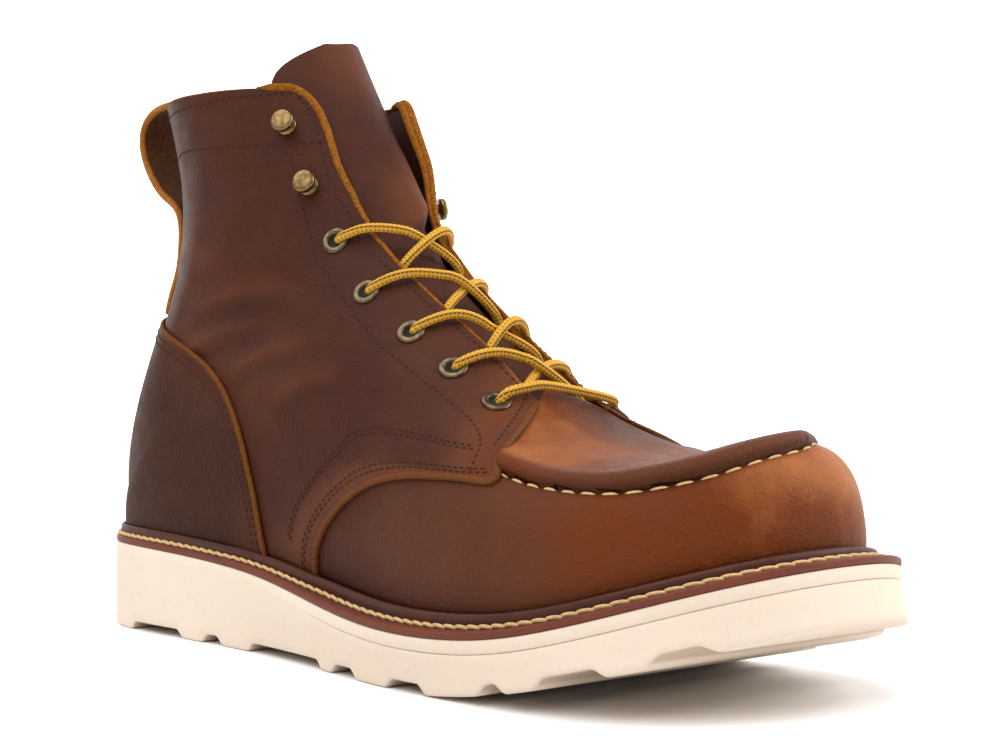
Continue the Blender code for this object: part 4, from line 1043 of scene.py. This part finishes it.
def buildWelt():
    # flat strip, groove and round bead carried round the feather line; gives its stitch line
    here, out, high, clear = weltLoop()
    reach = soleReach(here[:, 0])
    beadWide = np.minimum(welt["beadWide"], 0.5 * (reach - clear))
    groove = clear + beadWide
    width = reach - groove
    profile = [(-welt["inset"] + 0 * reach, -2.6, 0), (reach - 0.5, -2.6, 0), (reach - 0.12, -2.35, 0),
               (reach, -1.8, 0), (reach, -1.2, 0), (reach - 0.15, -0.75, 0), (reach - 0.55, -0.45, 0),
               (groove + 0.75 * width, -0.35, 0.2), (groove + 0.5 * width, -0.25, 0.8),
               (groove + 0.25 * width, -0.15, 1), (groove + 0.04 * width, 0.0, 1)]
    for angle in np.linspace(0, math.pi, 13):
        rise = 0.06 + 0.94 * math.sin(angle) ** 0.7
        root = clear + (high - clear) * rise
        profile.append((root + beadWide * (0.5 + 0.5 * math.cos(angle)), welt["beadHigh"] * rise, 1))
    profile.append((clear, 0.2, 1))
    profile.append((-welt["inset"] + 0 * reach, 0.0, 1))
    rings, tones = [], []
    for far, up, tone in profile:
        spot = here + out * np.asarray(far)[:, None]
        rings.append(np.column_stack([spot[:, :2], featherZ(spot[:, 0]) - sole["weltClear"] + up]))
        tones.append(np.full(len(here), tone))
    ring = np.stack(rings)
    quads = gridQuads(len(rings), len(here), wrap=True)
    last = (len(rings) - 1) * len(here)
    k = np.arange(len(here))
    n = np.roll(k, -1)
    quads = np.concatenate([quads, np.stack([last + k, k, n, last + n], 1)])
    points = ring.reshape(-1, 3)
    quads = facingOut(points, quads)
    wear(addPiece("welt_strip", points, quads, weltMaterial(), {"tone": np.stack(tones)}), "welt", "welt")
    line = here + out * (groove + 0.36 * width)[:, None]
    line = np.column_stack([line[:, :2], featherZ(line[:, 0]) - sole["weltClear"] + 0.42])
    facing = 0.62 * out + np.array([0.0, 0.0, 0.78])
    return np.concatenate([line, line[:1]]), np.concatenate([facing, facing[:1]])


buildSole()
weltLine, weltFacing = buildWelt()
print("boot: sole and welt made")


# Stitches: one capsule for each, joined to a single mesh for each row of thread
def stitches(line, up, pitch, long, wide, high, slant=0.0, sink=0.0, sides=8, rings=7):
    # capsule sections along each stitch: radius sqrt(1 - t^4), sagging into the leather at both ends
    line, up = np.asarray(line, float), np.asarray(up, float)
    arc = arcOf(line)
    count = max(int(round(arc[-1] / pitch)), 1)
    middle = (np.arange(count) + 0.5) * arc[-1] / count
    t = np.linspace(-0.999, 0.999, rings)
    at = np.clip(middle[:, None] + t * long / 2, 0, arc[-1])
    spot = np.stack([np.interp(at, arc, line[:, k]) for k in range(3)], -1)
    lift = unit(np.stack([np.interp(at, arc, up[:, k]) for k in range(3)], -1))
    side = np.cross(unit(np.gradient(spot, axis=1)), lift)
    body = np.sqrt(1 - t ** 4)[None, :, None, None]
    angle = np.linspace(0, 2 * math.pi, sides, endpoint=False)
    ring = side[:, :, None] * (np.cos(angle) * wide / 2)[:, None]
    ring = ring + lift[:, :, None] * (np.sin(angle) * high / 2)[:, None]
    centre = spot + side * (slant * t)[None, :, None] - lift * (sink * t ** 2)[None, :, None]
    points = centre[:, :, None] + ring * body
    one = gridQuads(rings, sides, wrap=True)
    flat = (rings - 1) * sides
    caps = []
    for a in range(1, sides - 2, 2):
        caps += [(0, a, a + 1, a + 2), (flat, flat + a + 2, flat + a + 1, flat + a)]
    one = np.concatenate([one, np.array(caps)])
    base = (np.arange(count) * rings * sides)[:, None, None]
    points = points.reshape(-1, 3)
    return points, facingOut(points, (one[None] + base).reshape(-1, 4))


def threadMaterial(name, light, dark, twist):
    # twisted fibres, light over dark
    material, tree, shader, coords = started(name)
    fibre = noised(tree, coords, twist, 3.0, 0.65)
    join(tree, mixed(tree, ranged(tree, fibre, 0.3, 0.7, 0.0, 1.0), dark, light), shader, "Base Color")
    shader.inputs["Roughness"].default_value = 0.75
    shader.inputs["Specular IOR Level"].default_value = 0.25
    bumped(tree, shader, fibre, 0.00025, 0.7)
    return material


def addStitches(name, rows, material, slot, **shape):
    # rows of stitches as one piece
    points, quads = joined([stitches(line, up, **shape) for line, up in rows])
    return wear(addPiece(name, points, quads, material), slot)


def onSkin(path, side, offset, count=160):
    # a line on the last through u, v points, with its normals
    fine = curveThrough(path, 20 * len(path))
    points = skin(fine[:, 0], fine[:, 1], side, offset + 0 * fine[:, 0])
    return spaced(points, count), spaced(skinNormal(fine[:, 0], fine[:, 1], side), count)


creamThread = threadMaterial("cream_thread", colour(0.84, 0.58, 0.29), colour(0.50, 0.29, 0.11), 0.0006)
brownThread = threadMaterial("brown_thread", colour(0.075, 0.026, 0.016), colour(0.022, 0.008, 0.005), 0.0005)
addStitches("welt_stitches", [(weltLine, weltFacing)], creamThread, "welt", pitch=welt["stitch"],
            long=welt["stitchLong"], wide=welt["stitchWide"], high=1.3, slant=0.34, sink=0.35, rings=9)


def mocLine(offset):
    # just below the moc seam, round the toe
    u = np.concatenate([np.linspace(5.12, 0, 160), np.linspace(0.02, 5.12, 160)])
    side = np.concatenate([-np.ones(160), np.ones(160)])
    v = seamShare(u) + 0.75 / girth(u, side)
    return skin(u, v, side, offset + 0 * u), skinNormal(u, v, side)


addStitches("moc_stitches", [mocLine(-0.65)], creamThread, "upper", pitch=6.2, long=4.7, wide=0.72, high=0.7,
            sink=0.35)

# Rows of machine stitching, each a line of u, v points, both sides alike
eyestayRow = ((16.75, 0.172), (16.2, 0.153), (14.5, 0.135), (13.25, 0.110), (12.3, 0.098), (10.5, 0.102),
              (9.05, 0.103), (8.1, 0.110), (7.4, 0.106), (6.85, 0.106), (6.3, 0.106), (6.12, 0.135),
              (5.92, 0.20), (5.66, 0.31), (5.46, 0.41))
bandRow = ((15.1, 0.215), (13.85, 0.188), (12.5, 0.169), (10.65, 0.188), (9.2, 0.219), (8.1, 0.269),
           (7.25, 0.30), (6.5, 0.325), (6.05, 0.35), (5.72, 0.40), (5.55, 0.46), (5.42, 0.53))
frontRow = ((5.12, 0.525), (5.45, 0.535), (5.9, 0.542), (6.40, 0.558), (6.85, 0.596), (7.17, 0.66),
            (7.37, 0.765), (7.42, 0.88), (7.36, 0.975))
frontRows, counterRows = (0.5, 1.9, 9.5, 10.9), (2.6, 5.0)   # distances of their stitches from the edge
collarTop = tuple((16.82, v) for v in (0.175, 0.3, 0.45, 0.6, 0.75, 0.9, 1.0))
collarLow = ((15.15, 0.135), (15.4, 0.213), (15.9, 0.394), (16.25, 0.6), (16.3, 0.8), (16.3, 1.0))


def shiftedRow(row, far):
    # the front row moved back from the edge: by rows u, less where it runs down to the welt, and by shares v
    return [(u + far * (0.055 - 0.027 * eased((v - 0.58) / 0.12)), v - far * 0.0085) for u, v in row]


def counterRow(far):
    # the counter's edge moved inwards
    edge = curveThrough(counterEdge, 120)
    way = unit(np.gradient(edge, axis=0))
    inner = edge + np.stack([-way[:, 1], way[:, 0]], 1) * far
    return inner[3:-4]


brownRows = []
for side in (-1, 1):
    for row in (eyestayRow, bandRow, collarTop, collarLow):
        brownRows.append(onSkin(row, side, quarter["outside"] + 0.12, 260))
    for far in frontRows:
        brownRows.append(onSkin(shiftedRow(frontRow, far), side, quarter["outside"] + 0.12, 200))
    for far in counterRows:
        inner = counterRow(far)
        u, v = fromSide(inner[:, 0], inner[:, 1], side)
        brownRows.append((skin(u, v, side, counter["outside"] + 0.1 + 0 * u), skinNormal(u, v, side)))
addStitches("machine_stitches", brownRows, brownThread, "upper", pitch=2.5, long=1.95, wide=0.62,
            high=0.5, sink=0.2, sides=6, rings=5)
print("boot: stitches made")

# Brass eyelets and hooks: u, v on the eyestay
eyelets = ((12.15, 0.131), (9.45, 0.169), (8.05, 0.200), (7.05, 0.225), (6.2, 0.231))
hooks = ((15.9, 0.219), (14.05, 0.169))
medialHookShift = 0.036   # the medial hooks sit further back
brass = dict(radius=4.25, hole=2.25, high=0.75, cap=3.65, sides=40)


def brassMaterial(name, dark, light):
    # stained metal
    material, tree, shader, coords = started(name)
    stain = noised(tree, coords, 0.0018, 4.0, 0.65)
    tint = mixed(tree, ranged(tree, stain, 0.35, 0.7, 0.0, 1.0), dark, light)
    join(tree, tint, shader, "Base Color")
    shader.inputs["Metallic"].default_value = 1.0
    join(tree, ranged(tree, stain, 0.3, 0.7, 0.42, 0.28), shader, "Roughness")
    bumped(tree, shader, noised(tree, coords, 0.0004), 0.00006, 0.4)
    return material


def holeShadeMaterial():
    # painted shade: near-black disc for the dark inside of an eyelet
    material, tree, shader, coords = started("eyelet_hole_shade")
    tint = mixed(tree, noised(tree, coords, 0.002), colour(0.006, 0.004, 0.003), colour(0.012, 0.008, 0.006))
    join(tree, tint, shader, "Base Color")
    shader.inputs["Roughness"].default_value = 0.9
    return material


def turned(name, spot, up, profile, material, node, shadeDisc=None):
    # profile of radius and height spun about the normal, its ends closed to a point or to each other
    up = unit(up)
    first = unit(np.cross(up, (0.3, 0.2, 1.0)))
    second = np.cross(up, first)
    angle = np.linspace(0, 2 * math.pi, brass["sides"], endpoint=False)
    spoke = np.cos(angle)[:, None] * first + np.sin(angle)[:, None] * second
    profile = np.asarray(profile, float)
    points = spot + spoke[None] * profile[:, 0, None, None] + up * profile[:, 1, None, None]
    quads = gridQuads(len(profile), brass["sides"], wrap=True)
    points = points.reshape(-1, 3)
    piece = addPiece(name, points, quads, material, weld=0.00001)
    # faces inside the hole take the painted-shade material
    if shadeDisc:
        piece.data.materials.append(shadeDisc)
        middle = np.zeros(len(piece.data.polygons) * 3)
        piece.data.polygons.foreach_get("center", middle)
        far = (middle.reshape(-1, 3) - inRow(spot)) * 1000
        radial = np.linalg.norm(far - (far @ up)[:, None] * up, axis=1)
        inside = (radial < brass["hole"] - 0.05).astype(np.int32)
        piece.data.polygons.foreach_set("material_index", inside)
    return wear(piece, "brass", node)


def buildFittings():
    # rings with a round rim and studs with a flat cap
    hookMetal = brassMaterial("antique_brass", colour(0.12, 0.078, 0.032), colour(0.33, 0.215, 0.085))
    ringMetal = brassMaterial("dark_brass", colour(0.075, 0.055, 0.034), colour(0.205, 0.150, 0.085))
    # painted shade: a near-black disc closes each eyelet's hole
    dark = holeShadeMaterial()
    wide = (brass["radius"] - brass["hole"]) / 2
    rim = [(brass["hole"] + wide * (1 - math.cos(a)), 0.15 + brass["high"] * math.sin(a) ** 0.6)
           for a in np.linspace(0, math.pi, 9)]
    ring = [(0.0, 0.06), (brass["hole"] - 0.1, 0.06), (brass["hole"], 0.5)] + rim
    ring += [(brass["radius"], 0.0), (0.0, -0.3)]
    cap = brass["cap"]
    stud = [(0.0, 0.0), (3.2, 0.0), (3.3, 0.5), (3.0, 0.8), (1.9, 0.95), (1.7, 1.4), (1.7, 2.8), (2.6, 3.1)]
    stud += [(cap - 0.1, 3.2), (cap, 3.5), (cap, 4.4), (cap - 0.12, 4.8), (cap - 0.5, 5.15), (cap - 0.7, 5.2),
             (cap - 1.6, 5.25), (0.0, 5.3)]
    for side, word in ((-1, "lateral"), (1, "medial")):
        for k, (u, v) in enumerate(eyelets):
            which = "%s_%d" % (word, k + 1)
            spot, up = skin(u, v, side, quarter["outside"]), skinNormal(u, v, side)
            turned("eyelet_ring_" + which, spot, up, ring, ringMetal, "eyelet_" + which, dark)
        for k, (u, v) in enumerate(hooks):
            v = v + (medialHookShift if side > 0 else 0)
            which = "%s_%d" % (word, k + 1)
            spot, up = skin(u, v, side, quarter["outside"]), skinNormal(u, v, side)
            turned("hook_stud_" + which, spot, up, stud, hookMetal, "hook_" + which)


buildFittings()

# Lace: from each eyelet over its own eyestay, across the tongue and under the opposite eyestay
lace = dict(radius=1.38, sides=16, braid=1.3, strands=3, above=3.3, below=0.6, barDrop=1.1)


def tube(path, radius, up=(0.0, 0.35, 1.0)):
    # circle carried along a path with a steady frame, and thread coordinates: length along, share around
    radius = np.broadcast_to(np.asarray(radius, float), len(path))[:, None, None]
    way = unit(np.gradient(path, axis=0))
    first = unit(np.cross(way, up))
    second = np.cross(way, first)
    sides = lace["sides"]
    angle = np.linspace(0, 2 * math.pi, sides, endpoint=False)
    ring = np.cos(angle)[None, :, None] * first[:, None] + np.sin(angle)[None, :, None] * second[:, None]
    points = path[:, None] + radius * ring
    quads = gridQuads(len(path), sides, wrap=True)
    arc = arcOf(path)
    i, j = np.meshgrid(np.arange(len(path) - 1), np.arange(sides), indexing="ij")
    start, end, near, far = arc[i], arc[i + 1], j / sides, (j + 1) / sides
    corner = [(start, near), (end, near), (end, far), (start, far)]
    uv = np.stack([np.stack(np.broadcast_arrays(a, b), -1) for a, b in corner], 2).reshape(-1, 4, 2)
    flat = (len(path) - 1) * sides
    caps, capUv = [], []
    for a in range(1, sides - 2, 2):
        caps += [(0, a, a + 1, a + 2), (flat, flat + a + 2, flat + a + 1, flat + a)]
        capUv += [np.zeros((4, 2)), np.zeros((4, 2))]
    quads, uv = np.concatenate([quads, np.array(caps)]), np.concatenate([uv, np.array(capUv)])
    return points.reshape(-1, 3), quads[:, ::-1], uv[:, ::-1]


def laceMaterial():
    # two sets of slanting strands, the higher one on top with painted shade between them, and two lines of
    # dark flecks
    material, tree, shader, coords = started("braided_lace")
    uv = node(tree, "ShaderNodeSeparateXYZ", {0: node(tree, "ShaderNodeUVMap", uv_map="thread").outputs[0]})
    along, around = uv.outputs[0], uv.outputs[1]
    turnAll = 2 * math.pi
    lines = maths(tree, "MULTIPLY", along, turnAll / lace["braid"])
    strand = maths(tree, "MULTIPLY", around, turnAll * lace["strands"])
    left = maths(tree, "SINE", maths(tree, "ADD", lines, strand))
    right = maths(tree, "SINE", maths(tree, "SUBTRACT", lines, strand))
    weave = maths(tree, "MAXIMUM", left, right)
    stripe = maths(tree, "COSINE", maths(tree, "MULTIPLY", around, turnAll * 2))
    dots = ranged(tree, left, -0.8, -0.2, 0.0, 1.0)
    fleck = maths(tree, "MULTIPLY", ranged(tree, stripe, 0.84, 0.96, 0.0, 1.0), dots)
    fibre = noised(tree, coords, 0.0005, 3.0)
    # painted shade: the strands' colour darkens where the weave sinks between them
    high = ranged(tree, weave, -0.2, 0.9, 0.0, 1.0)
    gold = mixed(tree, high, colour(0.40, 0.175, 0.010), colour(0.76, 0.40, 0.022))
    gold = mixed(tree, ranged(tree, fibre, 0.35, 0.75, 0.0, 0.35), gold, colour(0.9, 0.56, 0.08))
    join(tree, mixed(tree, fleck, gold, colour(0.085, 0.026, 0.010)), shader, "Base Color")
    shader.inputs["Roughness"].default_value = 0.7
    shader.inputs["Specular IOR Level"].default_value = 0.3
    bumped(tree, shader, weave, 0.00025, 0.6)
    return material


def crossing(k, side):
    # points given one by one, from under an eyelet up through it, over the edge, across and under the other
    # stay;
    # the two laces of a crossing lie on top in turn
    (u, v), (nextU, nextV) = eyelets[k], eyelets[k + 1]
    lift = quarter["outside"] + lace["radius"] + (brass["high"] if side < 0 else 0.1)
    hug, over = (0.2, 0.4) if side < 0 else (-1.5, -0.8)
    step, share = nextU - u, 1.0 / girth(u, side)
    middle = lace["above"] if (k % 2 == 0) == (side > 0) else lace["below"]
    edge, farU = throatShare(u), u + 0.70 * step
    spots = [skin(u, v - 0.4 * share, side, -5.0), skin(u, v - 0.8 * share, side, -0.8),
             skin(u + 0.02 * step, v - 2.2 * share, side, lift - 1.0),
             skin(u + 0.06 * step, 0.45 * v + 0.55 * edge, side, lift + hug),
             skin(u + 0.13 * step, edge, side, lift + over),
             skin(u + 0.30 * step, edge * 0.5, side, 0.45 * lift + 0.55 * middle + 0.5),
             skin(u + 0.47 * step, 0.006, side, middle), skin(farU, throatShare(farU) * 0.62, -side, -1.2),
             skin(u + 0.84 * step, throatShare(farU) * 1.15, -side, -4.0), skin(nextU, nextV, -side, -5.0)]
    return spaced(curveThrough(spots, 140), 100)


def barPath():
    # points listed one by one from one lowest eyelet to the other
    u, v = eyelets[-1]
    lift = quarter["outside"] + brass["high"] + lace["radius"]
    half = [(v - 0.004, -5.0), (v - 0.008, -0.8), (v - 0.026, lift - 0.9), (v * 0.76, lift + 0.3),
            (v * 0.45, lift + 0.7)]
    spots = [skin(u, a, -1, h) for a, h in half] + [skin(u, 0.012, -1, lift + 0.2)]
    spots += [skin(u, a, 1, h - (lace["barDrop"] if h > 0 else 0)) for a, h in half[::-1]]
    return spaced(curveThrough(spots, 120), 90)


def buildLace():
    # two tubes for each crossing and one for the lowest bar
    material = laceMaterial()
    for k in range(len(eyelets) - 1):
        points, quads, uv = joined([tube(crossing(k, side), lace["radius"]) for side in (-1, 1)])
        piece = addPiece("lace_%d" % (k + 1), points, quads, material, cornerUv=uv)
        wear(piece, "lace", "lace_crossing_%d" % (k + 1))
    points, quads, uv = tube(barPath(), lace["radius"])
    piece = addPiece("lace_lowest", points, quads, material, cornerUv=uv)
    wear(piece, "lace", "lace_bar")


buildLace()
print("boot: brass and lace made")

# Raw edges: round cords along throat and collar corner, quarter fronts and counter
cords = dict(throatU=(6.0, 8.0, 12.0, 14.5, 16.5, 17.0), throatRadius=(0.6, 0.65, 0.9, 1.3, 1.65, 1.5),
             second=9.5, front=1.05, counter=0.7, collarShare=0.27)


def addCords(name, runs, material, slot, suede, tone=0.3):
    # round cords as one piece, raw by their share of suede
    points, quads, _ = joined([tube(line, radius, up) for line, up, radius in runs])
    full = np.ones(len(points))
    values = {"edge": suede * full, "tone": tone * full, "shade": 0 * full}
    return wear(addPiece(name, points, quads, material, values), slot)


def throatRuns(side):
    # the quarter's own border from the collar round its corner and down the throat, in two layers at the top
    rim = dense(quarter["lines"])
    rim = rim[rim * (1 - throatV[-1]) < cords["collarShare"] - throatV[-1]][::-1]
    rimU, rimV = quarterGrid(rim, np.array([1.0]))
    downU, downV = quarterGrid(np.array([0.0]), np.linspace(1, 0.02, 300))
    u, v = np.concatenate([rimU[0], downU[1:, 0]]), np.concatenate([rimV[0], downV[1:, 0]])
    radius = np.interp(u, cords["throatU"], cords["throatRadius"])
    radius[:len(rim)] *= 0.25 + 0.75 * eased(np.linspace(0, 1, len(rim)) / 0.6)
    runs = [(skin(u, v, side, -0.25 * radius), skinNormal(u, v, side), radius)]
    top = u > cords["second"]
    u, v, radius = u[top], v[top], radius[top] * 0.85
    v = v - 0.5 * radius / girth(u, -1)
    runs.append((skin(u, v, side, -1.7 * radius), skinNormal(u, v, side), radius))
    at = np.linspace(0, 1, 360)
    return [(spaced(line, 360), spaced(up, 360), np.interp(at, np.linspace(0, 1, len(r)), r))
            for line, up, r in runs]


def frontRun(side):
    # the quarter's front edge, thinner at the throat
    path = curveThrough(edgeLine[throatRow:], 260)
    line = spaced(skin(path[:, 0], path[:, 1], side, 0 * path[:, 0]), 260)
    radius = cords["front"] * (0.4 + 0.6 * eased(np.linspace(0, 1, 260) / 0.16))
    return line, spaced(skinNormal(path[:, 0], path[:, 1], side), 260), radius


def counterRun():
    # the counter's edge round both sides
    edge = spaced(curveThrough(counterEdge, 181), 120)
    halves = []
    for side in (-1, 1):
        u, v = fromSide(edge[:, 0], edge[:, 1], side)
        v[-1] = 1
        halves.append((skin(u, v, side, counter["outside"] - 0.6 + 0 * u), skinNormal(u, v, side)))
    line, up = (np.concatenate([a, b[-2::-1]]) for a, b in zip(*halves))
    return spaced(line, 320), spaced(up, 320), cords["counter"]


addCords("throat_edges", throatRuns(-1) + throatRuns(1), leatherUpper, "upper", 1.0)
addCords("front_edges", [frontRun(-1), frontRun(1)], leatherUpper, "upper", 0.24)
addCords("counter_edge", [counterRun()], leatherCounter, "counter", 0.32)
print("boot: raw edges made")

# Studio: pale floor, white backdrop behind, wide soft light from above and a key from the toe side
studio = dict(floor=6.0, sky=0.35, sunAngle=75.0, sunTurn=(26, 1, 0), sun=2.8, key=5.0, keySize=0.55,
              keyPlace=(0.50, 0.55, 0.50), keyTarget=(0.05, 0.0, 0.06))


def addPlane(name, corners, material):
    # one flat face of the studio
    mesh = bpy.data.meshes.new(name)
    mesh.from_pydata(corners, [], [(0, 1, 2, 3)])
    mesh.materials.append(material)
    plane = bpy.data.objects.new(name, mesh)
    bpy.context.scene.collection.objects.link(plane)


def addStudio():
    # floor, backdrop, sky, sun and key light
    paper, tree, shader, coords = started("paper_floor")
    tint = mixed(tree, noised(tree, coords, 0.4), colour(0.90, 0.90, 0.90), colour(0.92, 0.92, 0.92))
    join(tree, tint, shader, "Base Color")
    shader.inputs["Roughness"].default_value = 0.9
    shader.inputs["Specular IOR Level"].default_value = 0.1
    h = studio["floor"]
    addPlane("floor", [(-h, -h, 0), (h, -h, 0), (h, h, 0), (-h, h, 0)], paper)
    glow = bpy.data.materials.new("white_backdrop")
    glow.use_nodes = True
    lit = glow.node_tree.nodes["Principled BSDF"]
    lit.inputs["Base Color"].default_value = colour(1, 1, 1)
    lit.inputs["Emission Color"].default_value = colour(1, 1, 1)
    lit.inputs["Emission Strength"].default_value = 1.0
    a = math.radians(view["azimuth"])
    back = np.array([math.sin(a), -math.cos(a)])
    side = np.array([back[1], -back[0]])
    ends = [-3.5 * back + 4.0 * s * side for s in (-1, 1)]
    corners = [(*ends[0], 0), (*ends[1], 0), (*ends[1], 3.0), (*ends[0], 3.0)]
    addPlane("backdrop", corners, glow)
    world = bpy.context.scene.world or bpy.data.worlds.new("studio")
    bpy.context.scene.world = world
    world.use_nodes = True
    world.node_tree.nodes["Background"].inputs["Color"].default_value = colour(1, 1, 1)
    world.node_tree.nodes["Background"].inputs["Strength"].default_value = studio["sky"]
    sun = bpy.data.lights.new("soft_top", "SUN")
    sun.energy, sun.angle = studio["sun"], math.radians(studio["sunAngle"])
    top = bpy.data.objects.new("soft_top", sun)
    top.rotation_euler = [math.radians(turn) for turn in studio["sunTurn"]]
    bpy.context.scene.collection.objects.link(top)
    area = bpy.data.lights.new("key", "AREA")
    area.energy, area.size = studio["key"], studio["keySize"]
    lamp = bpy.data.objects.new("key", area)
    spot = np.array(studio["keyPlace"])
    away = unit(spot - np.array(studio["keyTarget"]))
    right = unit(np.cross((0, 0, 1), away))
    lamp.matrix_world = turnedTo(right, np.cross(away, right), away, spot)
    bpy.context.scene.collection.objects.link(lamp)
    bpy.context.scene.view_settings.view_transform = "Standard"


addCamera()
addStudio()
